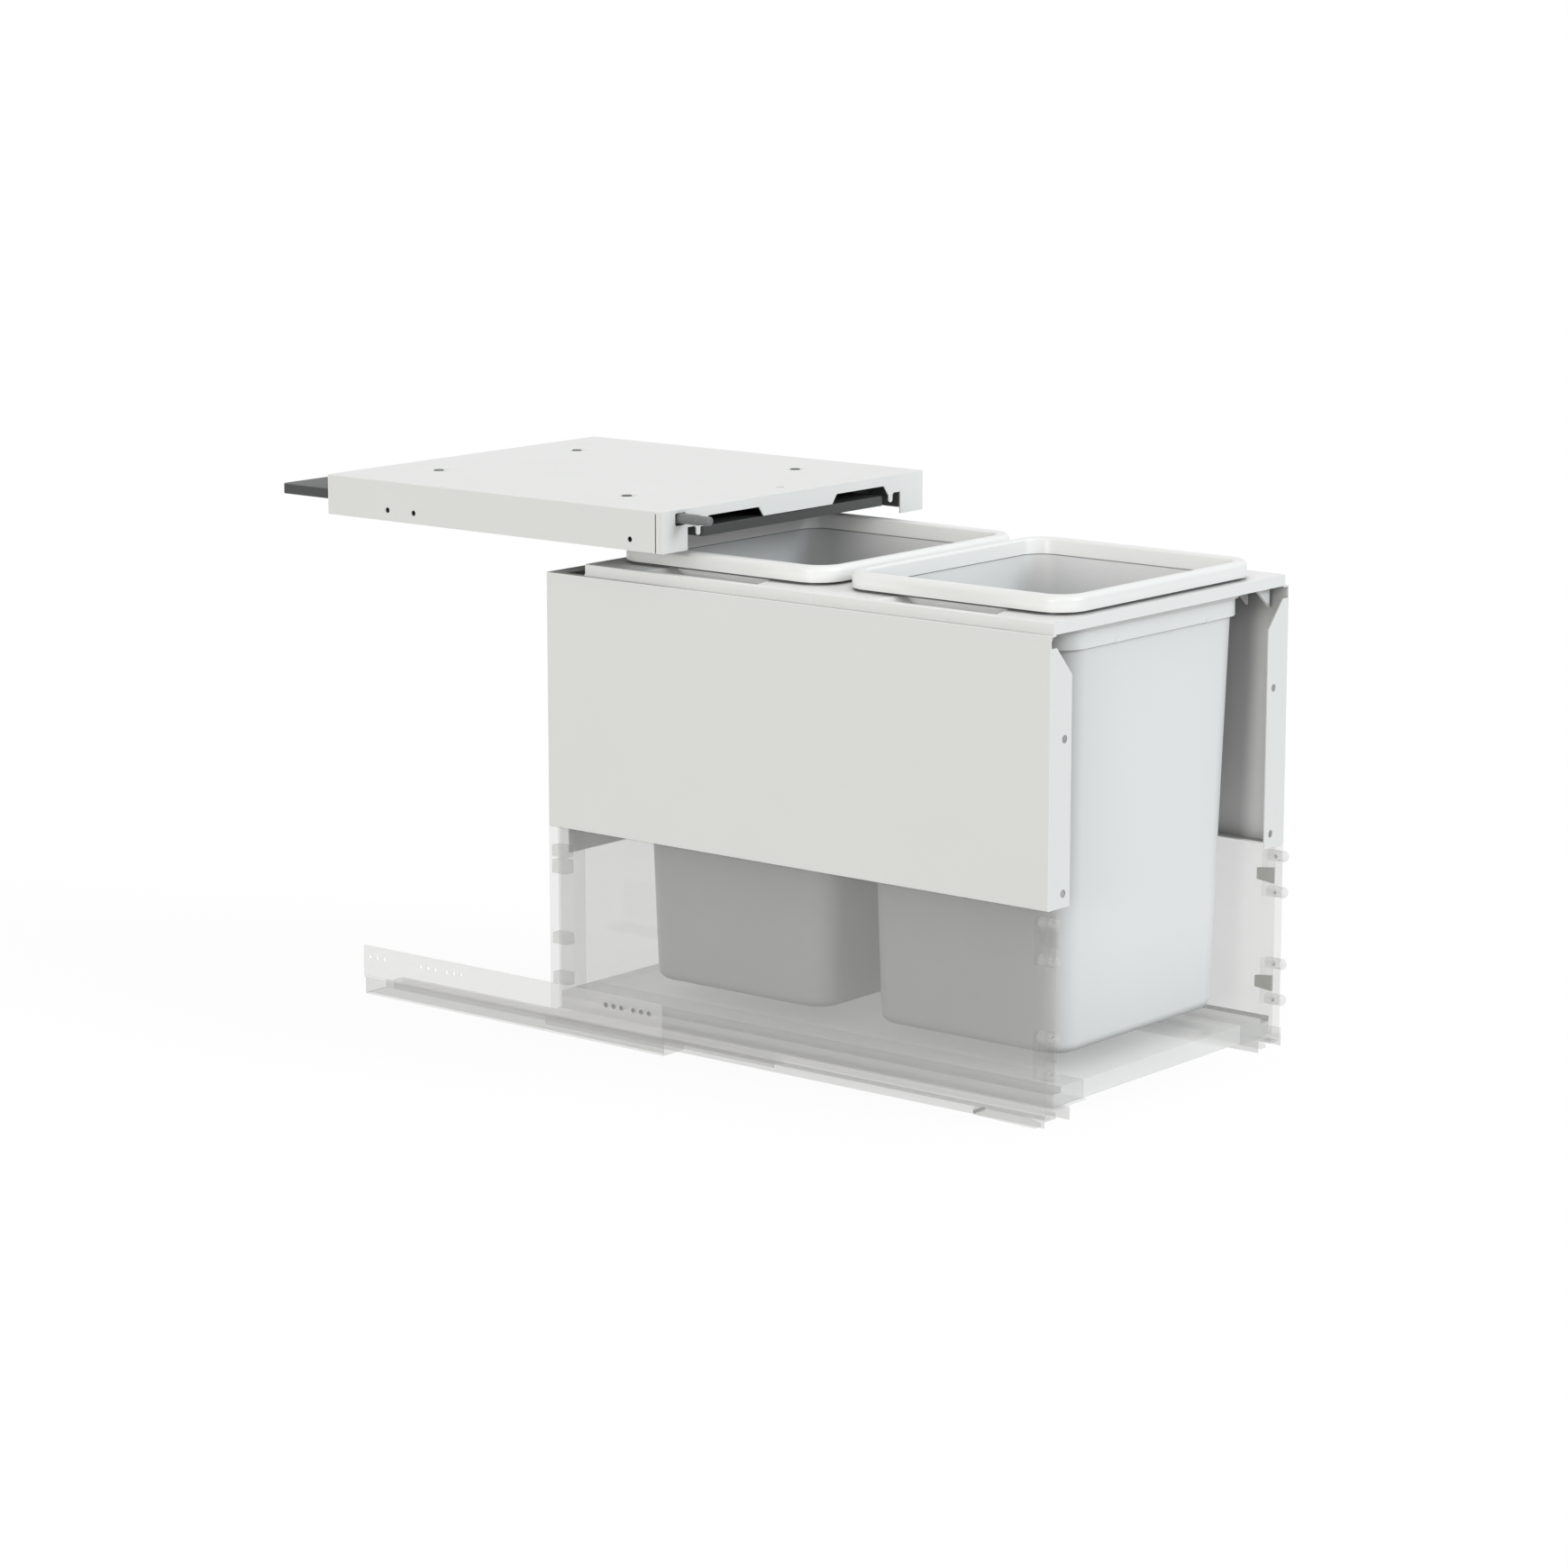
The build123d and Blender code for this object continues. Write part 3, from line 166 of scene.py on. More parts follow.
world = bpy.data.worlds.new("studio")
scene.world = world
world.use_nodes = True
sky = world.node_tree
sky.nodes.clear()
choose = sky.nodes.new("ShaderNodeMixShader")
sky.links.new(seen_directly(sky), choose.inputs["Fac"])
for index, (colour, strength) in enumerate(((FILL_COLOUR, FILL_STRENGTH), (WHITE, 1.0)), 1):
    glow = sky.nodes.new("ShaderNodeBackground")
    glow.inputs["Color"].default_value = colour
    glow.inputs["Strength"].default_value = strength
    sky.links.new(glow.outputs[0], choose.inputs[index])
sky_out = sky.nodes.new("ShaderNodeOutputWorld")
sky.links.new(choose.outputs[0], sky_out.inputs["Surface"])
scene.view_settings.view_transform = "Standard"
scene.cycles.transparent_max_bounces = CLEAR_FACES

# %% [markdown]
# ## The floor
#
# The cabinet stands on a plain pale floor. Its own colour is rather dark, so that little light
# bounces back up, and an even glow that only the camera sees lifts it to white. The camera sees
# a still darker colour under the glow, so the object's shadow stays on it as a faint grey.

# %% Floor
FLOOR_HALF = 30.0
FLOOR_BOUNCE = 0.42
FLOOR_SEEN = 0.10
FLOOR_GLOW = 0.915

floor_z = cad_box[0][2]
floor_mesh = bpy.data.meshes.new("floor")
floor_mesh.from_pydata(
    [(x, y, floor_z) for x, y in
     ((-FLOOR_HALF, -FLOOR_HALF), (FLOOR_HALF, -FLOOR_HALF),
      (FLOOR_HALF, FLOOR_HALF), (-FLOOR_HALF, FLOOR_HALF))],
    [], [(0, 1, 2, 3)])
floor = bpy.data.objects.new("floor", floor_mesh)
scene.collection.objects.link(floor)
floor_material = bpy.data.materials.new("pale_floor")
floor_material.use_nodes = True
floor_tree = floor_material.node_tree
floor_shader = floor_tree.nodes["Principled BSDF"]
floor_shader.inputs["Roughness"].default_value = 0.9
floor_shader.inputs["Specular IOR Level"].default_value = 0.0
floor_shader.inputs["Emission Color"].default_value = WHITE
seen = seen_directly(floor_tree)
for target, unseen_value, seen_value in (("Emission Strength", 0.0, FLOOR_GLOW),
                                         ("Base Color", FLOOR_BOUNCE, FLOOR_SEEN)):
    switch = floor_tree.nodes.new("ShaderNodeMapRange")
    switch.inputs["To Min"].default_value = unseen_value
    switch.inputs["To Max"].default_value = seen_value
    floor_tree.links.new(seen, switch.inputs["Value"])
    floor_tree.links.new(switch.outputs["Result"], floor_shader.inputs[target])
floor_mesh.materials.append(floor_material)
print("floor at z", round(floor_z, 4))

# %% [markdown]
# ## Shared effects, each as a node group
#
# Two effects turn up on many of the parts. Powder paint on steel has a fine orange-peel skin
# and a slight unevenness of shade. Moulded plastic has a finer, drier grain and faint long
# flow marks. Each is built once as a group, and every material places it with its own values.
# A third one finds the edges of a part and paints a highlight along them, or a dark outline on the
# clear parts.

# %% Helpers for node groups
def new_group(name, inputs, outputs):
    """A shader node group with named sockets, and its two end nodes."""
    group = bpy.data.node_groups.new(name, "ShaderNodeTree")
    for label, kind, value in inputs:
        socket = group.interface.new_socket(name=label, in_out="INPUT", socket_type=kind)
        socket.default_value = value
    for label, kind in outputs:
        group.interface.new_socket(name=label, in_out="OUTPUT", socket_type=kind)
    return group, group.nodes.new("NodeGroupInput"), group.nodes.new("NodeGroupOutput")


def noise(tree, place, scale, detail, roughness=0.5):
    """A noise from 0 to 1 at this scale, which may be a socket."""
    node = tree.nodes.new("ShaderNodeTexNoise")
    tree.links.new(place, node.inputs["Vector"])
    for label, value in (("Scale", scale), ("Detail", detail), ("Roughness", roughness)):
        if isinstance(value, (int, float)):
            node.inputs[label].default_value = value
        else:
            tree.links.new(value, node.inputs[label])
    return node.outputs["Fac"]


def shade(tree, colour, amount):
    """A colour made lighter or darker by a number that is 1 for no change."""
    node = tree.nodes.new("ShaderNodeVectorMath")
    node.operation = "SCALE"
    tree.links.new(colour, node.inputs[0])
    tree.links.new(amount, node.inputs["Scale"])
    return node.outputs[0]


def centred(tree, value, spread):
    """Turns a noise from 0..1 into 1 - spread .. 1 + spread."""
    swing = maths(tree, "MULTIPLY", maths(tree, "SUBTRACT", value, 0.5),
                  maths(tree, "MULTIPLY", spread, 2.0))
    return maths(tree, "ADD", swing, 1.0)


# %% Powder paint
CLOUD_SCALE, CLOUD_DETAIL = 9.0, 2.0         # slow changes of shade
PATCH_SCALE, PATCH_DETAIL = 40.0, 3.0        # quicker changes of gloss
PATCH_SPREAD = 0.12

paint, paint_in, paint_out = new_group(
    "powder_paint",
    [("Place", "NodeSocketVector", (0, 0, 0)),
     ("Colour", "NodeSocketColor", (0.8, 0.8, 0.8, 1)),
     ("Unevenness", "NodeSocketFloat", 0.02),
     ("Gloss", "NodeSocketFloat", 0.4),
     ("Peel Size", "NodeSocketFloat", 700.0),
     ("Peel Height", "NodeSocketFloat", 0.02)],
    [("Colour", "NodeSocketColor"), ("Roughness", "NodeSocketFloat"),
     ("Height", "NodeSocketFloat")])
cloudy = noise(paint, paint_in.outputs["Place"], CLOUD_SCALE, CLOUD_DETAIL)
paint.links.new(
    shade(paint, paint_in.outputs["Colour"],
          centred(paint, cloudy, paint_in.outputs["Unevenness"])),
    paint_out.inputs["Colour"])
patchy = noise(paint, paint_in.outputs["Place"], PATCH_SCALE, PATCH_DETAIL)
paint.links.new(
    maths(paint, "MULTIPLY", paint_in.outputs["Gloss"], centred(paint, patchy, PATCH_SPREAD)),
    paint_out.inputs["Roughness"])
peel = noise(paint, paint_in.outputs["Place"], paint_in.outputs["Peel Size"], 1.0)
paint.links.new(maths(paint, "MULTIPLY", peel, paint_in.outputs["Peel Height"]),
                paint_out.inputs["Height"])

# %% Moulded plastic
FLOW_STRETCH = (1.0, 1.0, 0.16)              # flow marks are long and upright
FLOW_SCALE, FLOW_DETAIL, FLOW_SPREAD = 22.0, 3.0, 0.1
GRAIN_DETAIL, GRAIN_ROUGHNESS = 3.0, 0.7

moulding, moulding_in, moulding_out = new_group(
    "moulded_plastic",
    [("Place", "NodeSocketVector", (0, 0, 0)),
     ("Colour", "NodeSocketColor", (0.8, 0.8, 0.8, 1)),
     ("Unevenness", "NodeSocketFloat", 0.02),
     ("Gloss", "NodeSocketFloat", 0.5),
     ("Grain Size", "NodeSocketFloat", 1400.0),
     ("Grain Height", "NodeSocketFloat", 0.03)],
    [("Colour", "NodeSocketColor"), ("Roughness", "NodeSocketFloat"),
     ("Height", "NodeSocketFloat")])
stretch = moulding.nodes.new("ShaderNodeMapping")
stretch.inputs["Scale"].default_value = FLOW_STRETCH
moulding.links.new(moulding_in.outputs["Place"], stretch.inputs["Vector"])
flow = noise(moulding, stretch.outputs[0], FLOW_SCALE, FLOW_DETAIL)
moulding.links.new(
    shade(moulding, moulding_in.outputs["Colour"],
          centred(moulding, flow, moulding_in.outputs["Unevenness"])),
    moulding_out.inputs["Colour"])
moulding.links.new(
    maths(moulding, "MULTIPLY", moulding_in.outputs["Gloss"],
          centred(moulding, flow, FLOW_SPREAD)),
    moulding_out.inputs["Roughness"])
grain = noise(moulding, moulding_in.outputs["Place"], moulding_in.outputs["Grain Size"],
              GRAIN_DETAIL, GRAIN_ROUGHNESS)
moulding.links.new(maths(moulding, "MULTIPLY", grain, moulding_in.outputs["Grain Height"]),
                   moulding_out.inputs["Height"])

# %% Painted highlight along the edges
EDGE_STARTS, EDGE_FULL = 0.995, 0.90         # cosines between a face and its rounded self

rim, rim_in, rim_out = new_group(
    "edge_light",
    [("Colour", "NodeSocketColor", (0.8, 0.8, 0.8, 1)),
     ("Edge Colour", "NodeSocketColor", (0.9, 0.9, 0.9, 1)),
     ("Width", "NodeSocketFloat", 0.0008),
     ("Amount", "NodeSocketFloat", 0.5)],
    [("Colour", "NodeSocketColor"), ("Edge", "NodeSocketFloat")])
rounded = rim.nodes.new("ShaderNodeBevel")
rounded.samples = 4
rim.links.new(rim_in.outputs["Width"], rounded.inputs["Radius"])
plain = rim.nodes.new("ShaderNodeNewGeometry")
cosine = rim.nodes.new("ShaderNodeVectorMath")
cosine.operation = "DOT_PRODUCT"
rim.links.new(rounded.outputs[0], cosine.inputs[0])
rim.links.new(plain.outputs["True Normal"], cosine.inputs[1])
bent = rim.nodes.new("ShaderNodeMapRange")
bent.inputs["From Min"].default_value = EDGE_STARTS
bent.inputs["From Max"].default_value = EDGE_FULL
rim.links.new(cosine.outputs["Value"], bent.inputs["Value"])
edge_mask = maths(rim, "MULTIPLY", bent.outputs[0], rim_in.outputs["Amount"])
edge_mix = rim.nodes.new("ShaderNodeMix")
edge_mix.data_type = "RGBA"
rim.links.new(edge_mask, edge_mix.inputs["Factor"])
rim.links.new(rim_in.outputs["Colour"], edge_mix.inputs["A"])
rim.links.new(rim_in.outputs["Edge Colour"], edge_mix.inputs["B"])
rim.links.new(edge_mix.outputs["Result"], rim_out.inputs["Colour"])
rim.links.new(edge_mask, rim_out.inputs["Edge"])
print("groups", [g.name for g in bpy.data.node_groups])

# %% [markdown]
# ## One recipe for every finish
#
# A finish is a skin (paint or moulding), a painted edge highlight, and the plain numbers of the
# shader. The numbers that are the same all over, such as the alpha of the see-through steel, are
# set on the shader's own sockets. Two more things paint shade into a finish. Crease shade is
# painted where little open air lies in front of the surface, such as under the rim of a ring. A
# shade band is painted shade at some distance from the middle and at some height, such as the
# shadow line at the seam between a bin and its ring.

# %% Make a material
COAT_ROUGHNESS = 0.2
RELIEF_DEPTH = 0.001


def finish(name, skin, colour, gloss, grain_size, grain_height, unevenness=0.015,
           edge=None, edge_width=0.0008, edge_amount=0.5, metallic=0.0, specular=0.5,
           alpha=1.0, coat=0.0, bump=0.25, crease_shade=0.0, reach=0.03, shade_bands=()):
    """A material from a skin group, painted edge highlight and shade, and constant shader values.
    """
    material = bpy.data.materials.new(name)
    material.use_nodes = True
    tree = material.node_tree
    shader = tree.nodes["Principled BSDF"]
    place = tree.nodes.new("ShaderNodeTexCoord")
    surface = tree.nodes.new("ShaderNodeGroup")
    surface.node_tree = skin
    size_name, height_name = (
        ("Peel Size", "Peel Height") if skin == paint else ("Grain Size", "Grain Height"))
    for label, value in (("Colour", (*colour, 1.0)), ("Gloss", gloss), (size_name, grain_size),
                         (height_name, grain_height), ("Unevenness", unevenness)):
        surface.inputs[label].default_value = value
    tree.links.new(place.outputs["Object"], surface.inputs["Place"])
    shown = surface.outputs["Colour"]
    # Painted highlight along the edges, or a painted dark outline where the edge colour is darker
    if edge:
        border = tree.nodes.new("ShaderNodeGroup")
        border.node_tree = rim
        border.inputs["Edge Colour"].default_value = (*edge, 1.0)
        border.inputs["Width"].default_value = edge_width
        border.inputs["Amount"].default_value = edge_amount
        tree.links.new(shown, border.inputs["Colour"])
        shown = border.outputs["Colour"]
    # Crease shade: painted shade, darker where ambient occlusion finds little open air
    if crease_shade:
        open_air = tree.nodes.new("ShaderNodeAmbientOcclusion")
        open_air.samples = 8
        open_air.inputs["Distance"].default_value = reach
        closed = maths(tree, "SUBTRACT", 1.0, open_air.outputs["AO"])
        shown = shade(tree, shown, maths(
            tree, "SUBTRACT", 1.0, maths(tree, "MULTIPLY", closed, crease_shade)))
    # Shade bands: painted shade between two heights, beyond a given distance from the middle
    if shade_bands:
        parted = tree.nodes.new("ShaderNodeSeparateXYZ")
        tree.links.new(place.outputs["Object"], parted.inputs[0])
        sideways = maths(tree, "ABSOLUTE", parted.outputs["X"], 0.0)
    for least_x, least_z, most_z, darkness in shade_bands:
        inside = maths(tree, "GREATER_THAN", sideways, least_x)
        for operation, plane in (("GREATER_THAN", least_z), ("LESS_THAN", most_z)):
            inside = maths(tree, "MULTIPLY", inside,
                           maths(tree, operation, parted.outputs["Z"], plane))
        shown = shade(tree, shown, maths(
            tree, "SUBTRACT", 1.0, maths(tree, "MULTIPLY", inside, darkness)))
    relief = tree.nodes.new("ShaderNodeBump")
    relief.inputs["Strength"].default_value = bump
    relief.inputs["Distance"].default_value = RELIEF_DEPTH
    tree.links.new(surface.outputs["Height"], relief.inputs["Height"])
    tree.links.new(shown, shader.inputs["Base Color"])
    tree.links.new(surface.outputs["Roughness"], shader.inputs["Roughness"])
    tree.links.new(relief.outputs["Normal"], shader.inputs["Normal"])
    shader.inputs["Metallic"].default_value = metallic
    shader.inputs["Specular IOR Level"].default_value = specular
    shader.inputs["Alpha"].default_value = alpha
    shader.inputs["Coat Weight"].default_value = coat
    shader.inputs["Coat Roughness"].default_value = COAT_ROUGHNESS
    return material


# %% [markdown]
# ## The finishes
#
# The cover, the raised sides and the back panel are white powder-painted steel. The bin frames
# and the bag rings are white plastic, and the bins a slightly greyer one. The drawer's own sides
# and its rails are painted steel too, but they are shown see-through: each face of a sheet lets
# most of the light pass, so two sheets one behind the other still show the bin behind them.

# %% Finishes
# Each band of painted shade: how far out from the middle it starts, its lowest and highest point,
# its darkness
BIN_SEAM_SHADOW = (0.0, 0.3883, 0.3920, 0.62)       # the line where a ring meets its bin
RAIL_WEB_SHADE = (0.0, -0.0365, -0.0205, 0.35)     # the rail below its step
FLOOR_END_SHADE = (0.1480, -0.0065, 0.0100, 0.7)  # where the drawer's sides grip the floor board
FLOOR_GRIP = (0.1160, -0.0180, 0.0100, 0.3)  # and the wider shadow beside the grip
RING_GAP_SHADOW = (0.0, 0.38695, 0.3892, 0.85)      # the ring's skirt in the gap above its frame

# Crease shade and the shade bands paint shade into a colour; the edge colours paint a highlight
looks = {
    "white_steel": finish(
        "white_powder_paint", paint, (0.86, 0.86, 0.85), 0.42, 620.0, 0.03,
        edge=(0.98, 0.98, 0.95), edge_width=0.0011, edge_amount=1.0, specular=0.35,
        crease_shade=0.85, reach=0.05),
    "white_plastic": finish(
        "white_moulded_plastic", moulding, (0.895, 0.895, 0.885), 0.34, 1500.0, 0.01,
        edge=(0.98, 0.98, 0.97), edge_width=0.0013, edge_amount=1.0, specular=0.6,
        crease_shade=0.40, reach=0.008, shade_bands=[RING_GAP_SHADOW]),
    "bin_plastic": finish(
        "bin_moulded_plastic", moulding, (0.87, 0.875, 0.875), 0.42, 1500.0, 0.006,
        unevenness=0.01, bump=0.1, crease_shade=0.44, reach=0.14, shade_bands=[BIN_SEAM_SHADOW]),
    "drawer_steel": finish(
        "clear_drawer_steel", paint, (0.56, 0.56, 0.55), 0.5, 620.0, 0.01,
        edge=(0.8, 0.8, 0.79), alpha=0.145, specular=0.3),
    "rail_steel": finish(
        "clear_rail_steel", paint, (0.82, 0.82, 0.81), 0.5, 620.0, 0.01,
        edge=(0.95, 0.95, 0.95), edge_amount=0.8, alpha=0.27, specular=0.3,
        shade_bands=[RAIL_WEB_SHADE]),
    "board": finish(
        "floor_board", moulding, (0.92, 0.92, 0.90), 0.5, 500.0, 0.01, alpha=0.45,
        crease_shade=0.12, reach=0.04, shade_bands=[FLOOR_END_SHADE, FLOOR_GRIP]),
    "bracket_metal": finish(
        "clear_bracket_metal", paint, (0.30, 0.30, 0.28), 0.4, 900.0, 0.01, alpha=0.09),
    "clip_plastic": finish(
        "clear_clip_plastic", moulding, (0.40, 0.40, 0.385), 0.5, 1200.0, 0.02, alpha=0.2),
    "dowel_plastic": finish(
        "clear_dowel_plastic", moulding, (0.72, 0.72, 0.71), 0.12, 900.0, 0.01, alpha=0.24,
        coat=0.6, edge=(0.20, 0.20, 0.20), edge_amount=0.7),
    "fixing_steel": finish(
        "bright_fixing_steel", paint, (0.45, 0.45, 0.45), 0.3, 2200.0, 0.02, metallic=0.7),
    "roller_plastic": finish(
        "clear_roller_plastic", moulding, (0.62, 0.62, 0.61), 0.3, 1500.0, 0.01, alpha=0.12),
    "catch_plastic": finish(
        "clear_catch_plastic", moulding, (0.55, 0.55, 0.54), 0.45, 1200.0, 0.02, alpha=0.2,
        edge=(0.3, 0.3, 0.3), edge_amount=0.7),
    "dark_steel": finish(
        "dark_painted_steel", paint, (0.075, 0.08, 0.075), 0.4, 620.0, 0.02),
    "dark_plastic": finish(
        "dark_moulded_plastic", moulding, (0.075, 0.08, 0.075), 0.45, 1200.0, 0.03),
    "lid_plastic": finish(
        "lid_moulded_plastic", moulding, (0.058, 0.062, 0.060), 0.5, 1000.0, 0.04),
    "grey_plastic": finish(
        "grey_plunger_plastic", moulding, (0.19, 0.2, 0.2), 0.35, 1500.0, 0.02,
        edge=(0.5, 0.5, 0.5)),
    "spring_steel": finish(
        "drawn_spring_steel", paint, (0.5, 0.5, 0.51), 0.25, 2500.0, 0.02, metallic=0.9),
}

# The picture shows the hooks on the far side's brackets solid. The drawer's back is almost clear
# in it, and so are the rails on the far side.
hook_metal = finish(
    "solid_hook_metal", paint, (0.33, 0.33, 0.305), 0.4, 900.0, 0.02, alpha=0.6)
clear_board = finish(
    "clear_back_board", moulding, (0.60, 0.60, 0.59), 0.5, 500.0, 0.01, alpha=0.07)
faint_rail = finish(
    "faint_rail_steel", paint, (0.82, 0.82, 0.81), 0.5, 620.0, 0.01, alpha=0.025,
    specular=0.2)
special = {"right_bracket_hooks": hook_metal, "drawer_back": clear_board,
           "right_cabinet_rail": faint_rail, "right_middle_rail": faint_rail}
clear_slots = {"drawer_steel", "rail_steel", "board", "bracket_metal", "clip_plastic",
               "dowel_plastic", "roller_plastic", "catch_plastic"}


def let_light_pass(piece):
    """A see-through part takes no light away from what stands behind it."""
    piece.visible_shadow = False
    piece.visible_diffuse = False


for name, part in nodes.items():
    for slot in part.material_slots:
        slot_name = slot.material.name.split(".")[0]
        slot.material = special.get(name, looks[slot_name])
        if slot_name in clear_slots:
            let_light_pass(part)

# The clear side still dims the light on the bins behind it, as in the picture.
nodes["left_drawer_side"].visible_shadow = True
print("finishes", len({*looks.values(), *special.values()}))

# %% [markdown]
# ## Building with Geometry Nodes
#
# The dowels, the screws, the plugs and the spring are all shapes that follow a rule: a profile
# drawn along a line, or a shape set down again at every fixing point. A node tree states such a
# rule once. Its named inputs are the sizes, and its result is turned into a plain mesh, because
# a finished part has to hold still for the cabinet's joints to move it.

# %% Helpers for Geometry Nodes
def new_tree(name, inputs):
    """A geometry tree with named inputs, its input node and its output node."""
    tree = bpy.data.node_groups.new(name, "GeometryNodeTree")
    tree.interface.new_socket(name="Geometry", in_out="OUTPUT", socket_type="NodeSocketGeometry")
    for label, kind in inputs:
        tree.interface.new_socket(name=label, in_out="INPUT", socket_type=kind)
    return tree, tree.nodes.new("NodeGroupInput"), tree.nodes.new("NodeGroupOutput")


def step(tree, kind, settings=None, **links):
    """Adds a node: its settings are set, and its inputs are linked or filled by name."""
    node = tree.nodes.new(kind)
    for label, value in (settings or {}).items():
        setattr(node, label, value)
    for label, value in links.items():
        socket = node.inputs[label.replace("_", " ")]
        if isinstance(value, bpy.types.NodeSocket):
            tree.links.new(value, socket)
        else:
            socket.default_value = value
    return node


def vector(tree, x=0.0, y=0.0, z=0.0):
    """A vector from three sockets or plain numbers."""
    node = tree.nodes.new("ShaderNodeCombineXYZ")
    for socket, value in zip(node.inputs, (x, y, z)):
        if isinstance(value, bpy.types.NodeSocket):
            tree.links.new(value, socket)
        else:
            socket.default_value = value
    return node.outputs[0]


def set_in_line(tree, thing, count, offset, **start):
    """Copies of a thing on a line of points."""
    line = step(tree, "GeometryNodeMeshLine", Count=count, Offset=offset, **start)
    return step(tree, "GeometryNodeInstanceOnPoints", Points=line.outputs[0],
                Instance=thing).outputs[0]


def turned_profile(tree, start, end, radius, points, rings, facets):
    """A solid turned about a line: the profile's points are (share of length, share of radius)."""
    line = step(tree, "GeometryNodeCurvePrimitiveLine", Start=start, End=end)
    cut = step(tree, "GeometryNodeResampleCurve", Curve=line.outputs["Curve"], Count=rings)
    along = tree.nodes.new("GeometryNodeSplineParameter")
    shape = tree.nodes.new("ShaderNodeFloatCurve")
    curve = shape.mapping.curves[0]
    curve.points[0].location = points[0]
    curve.points[1].location = points[-1]
    for x, y in points[1:-1]:
        curve.points.new(x, y)
    for point in curve.points:
        point.handle_type = "VECTOR"
    shape.mapping.update()
    tree.links.new(along.outputs["Factor"], shape.inputs["Value"])
    circle = step(tree, "GeometryNodeCurvePrimitiveCircle", Resolution=facets)
    tree.links.new(radius, circle.inputs["Radius"])
    solid = step(tree, "GeometryNodeCurveToMesh", Curve=cut.outputs["Curve"],
                 Profile_Curve=circle.outputs["Curve"], Scale=shape.outputs[0], Fill_Caps=True)
    return solid.outputs["Mesh"]


def end_tree(tree, output, geometry, smooth=True):
    """Realises the instances, gives them their material and ends the tree."""
    real = step(tree, "GeometryNodeRealizeInstances", Geometry=geometry)
    smoothed = step(tree, "GeometryNodeSetShadeSmooth", Geometry=real.outputs[0],
                    Shade_Smooth=smooth)
    painted = step(tree, "GeometryNodeSetMaterial", Geometry=smoothed.outputs[0])
    tree.links.new(tree.nodes["Group Input"].outputs["Finish"], painted.inputs["Material"])
    tree.links.new(painted.outputs[0], output.inputs["Geometry"])


def grow(name, tree, material, **values):
    """Runs a tree with these sizes and returns its result as a plain mesh object."""
    host = bpy.data.objects.new(name, bpy.data.meshes.new(name))
    scene.collection.objects.link(host)
    rule = host.modifiers.new(tree.name, "NODES")
    rule.node_group = tree
    for socket in tree.interface.items_tree:
        if socket.in_out == "INPUT":
            label = socket.name.replace(" ", "_")
            rule[socket.identifier] = material if socket.name == "Finish" else values[label]
    bpy.context.view_layer.update()
    result = bpy.data.meshes.new_from_object(
        host.evaluated_get(bpy.context.evaluated_depsgraph_get()))
    result.name = name
    host.modifiers.clear()
    host.data = result
    print(name, "faces", len(result.polygons))
    return host


def dress(piece, body, slot_name, *replaced):
    """Puts a piece on the body that carries it and hides the nodes that it stands for. What it is
    made of (slot_name) is not used.
    """
    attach(piece, body)
    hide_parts(*replaced)


# %% [markdown]
# ## The front dowels
#
# Four clear plastic dowels stick out of each side's front brackets, in two pairs. They are
# pushed into holes in the door's back. Each has a rounded nose, then saw-tooth barbs that grip
# the board. One barb profile is turned about the dowel's line, and the dowel is set on the four
# points of a short grid: a pair spacing and a pitch between the pairs.

# %% Front dowels
DOWEL_RADIUS = 0.005
PAIR_SPACING = 0.032                         # between the two fixings of a pair
PAIR_PITCH = 0.096                           # from one pair to the next

dowel_tree, dowel_in, dowel_out = new_tree("front_dowels", [
    ("Side", "NodeSocketFloat"), ("Nose", "NodeSocketFloat"), ("Heel", "NodeSocketFloat"),
    ("Lowest", "NodeSocketFloat"), ("Pair Spacing", "NodeSocketFloat"),
    ("Pair Pitch", "NodeSocketFloat"), ("Radius", "NodeSocketFloat"),
    ("Finish", "NodeSocketMaterial")])

# Each point of a profile: its share of the length and its share of the radius
BARBS = [(0.0, 0.30), (0.03, 0.62), (0.09, 0.86), (0.17, 1.0), (0.26, 1.0), (0.27, 0.80),
         (0.36, 0.97), (0.37, 0.80), (0.46, 0.97), (0.47, 0.80), (0.54, 0.80), (0.55, 1.0),
         (1.0, 1.0)]
one_dowel = turned_profile(
    dowel_tree, vector(dowel_tree, y=dowel_in.outputs["Nose"]),
    vector(dowel_tree, y=dowel_in.outputs["Heel"]), dowel_in.outputs["Radius"], BARBS,
    rings=101, facets=28)
pair = set_in_line(dowel_tree, one_dowel, 2,
                   vector(dowel_tree, z=dowel_in.outputs["Pair Spacing"]))
pairs = set_in_line(
    dowel_tree, pair, 2, vector(dowel_tree, z=dowel_in.outputs["Pair Pitch"]),
    Start_Location=vector(dowel_tree, x=dowel_in.outputs["Side"], z=dowel_in.outputs["Lowest"]))
end_tree(dowel_tree, dowel_out, pairs)

for side in ("left", "right"):
    low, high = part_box(f"{side}_front_dowels")
    dowels = grow(
        f"{side}_clear_dowels", dowel_tree, looks["dowel_plastic"],
        Side=(low.x + high.x) / 2, Nose=low.y, Heel=high.y, Lowest=low.z + DOWEL_RADIUS,
        Pair_Spacing=PAIR_SPACING, Pair_Pitch=PAIR_PITCH, Radius=DOWEL_RADIUS)
    dress(dowels, "drawer", "dowel_plastic", f"{side}_front_dowels")
    let_light_pass(dowels)

# %% [markdown]
# ## The screws
#
# Pan-head screws hold the brackets and the back panel. A head is a low dome turned about the
# screw's line, and a cross is cut out of it for the driver. The heads stand in a row, so the
# tree sets them along a line of points, and a second copy of the row makes the pair.

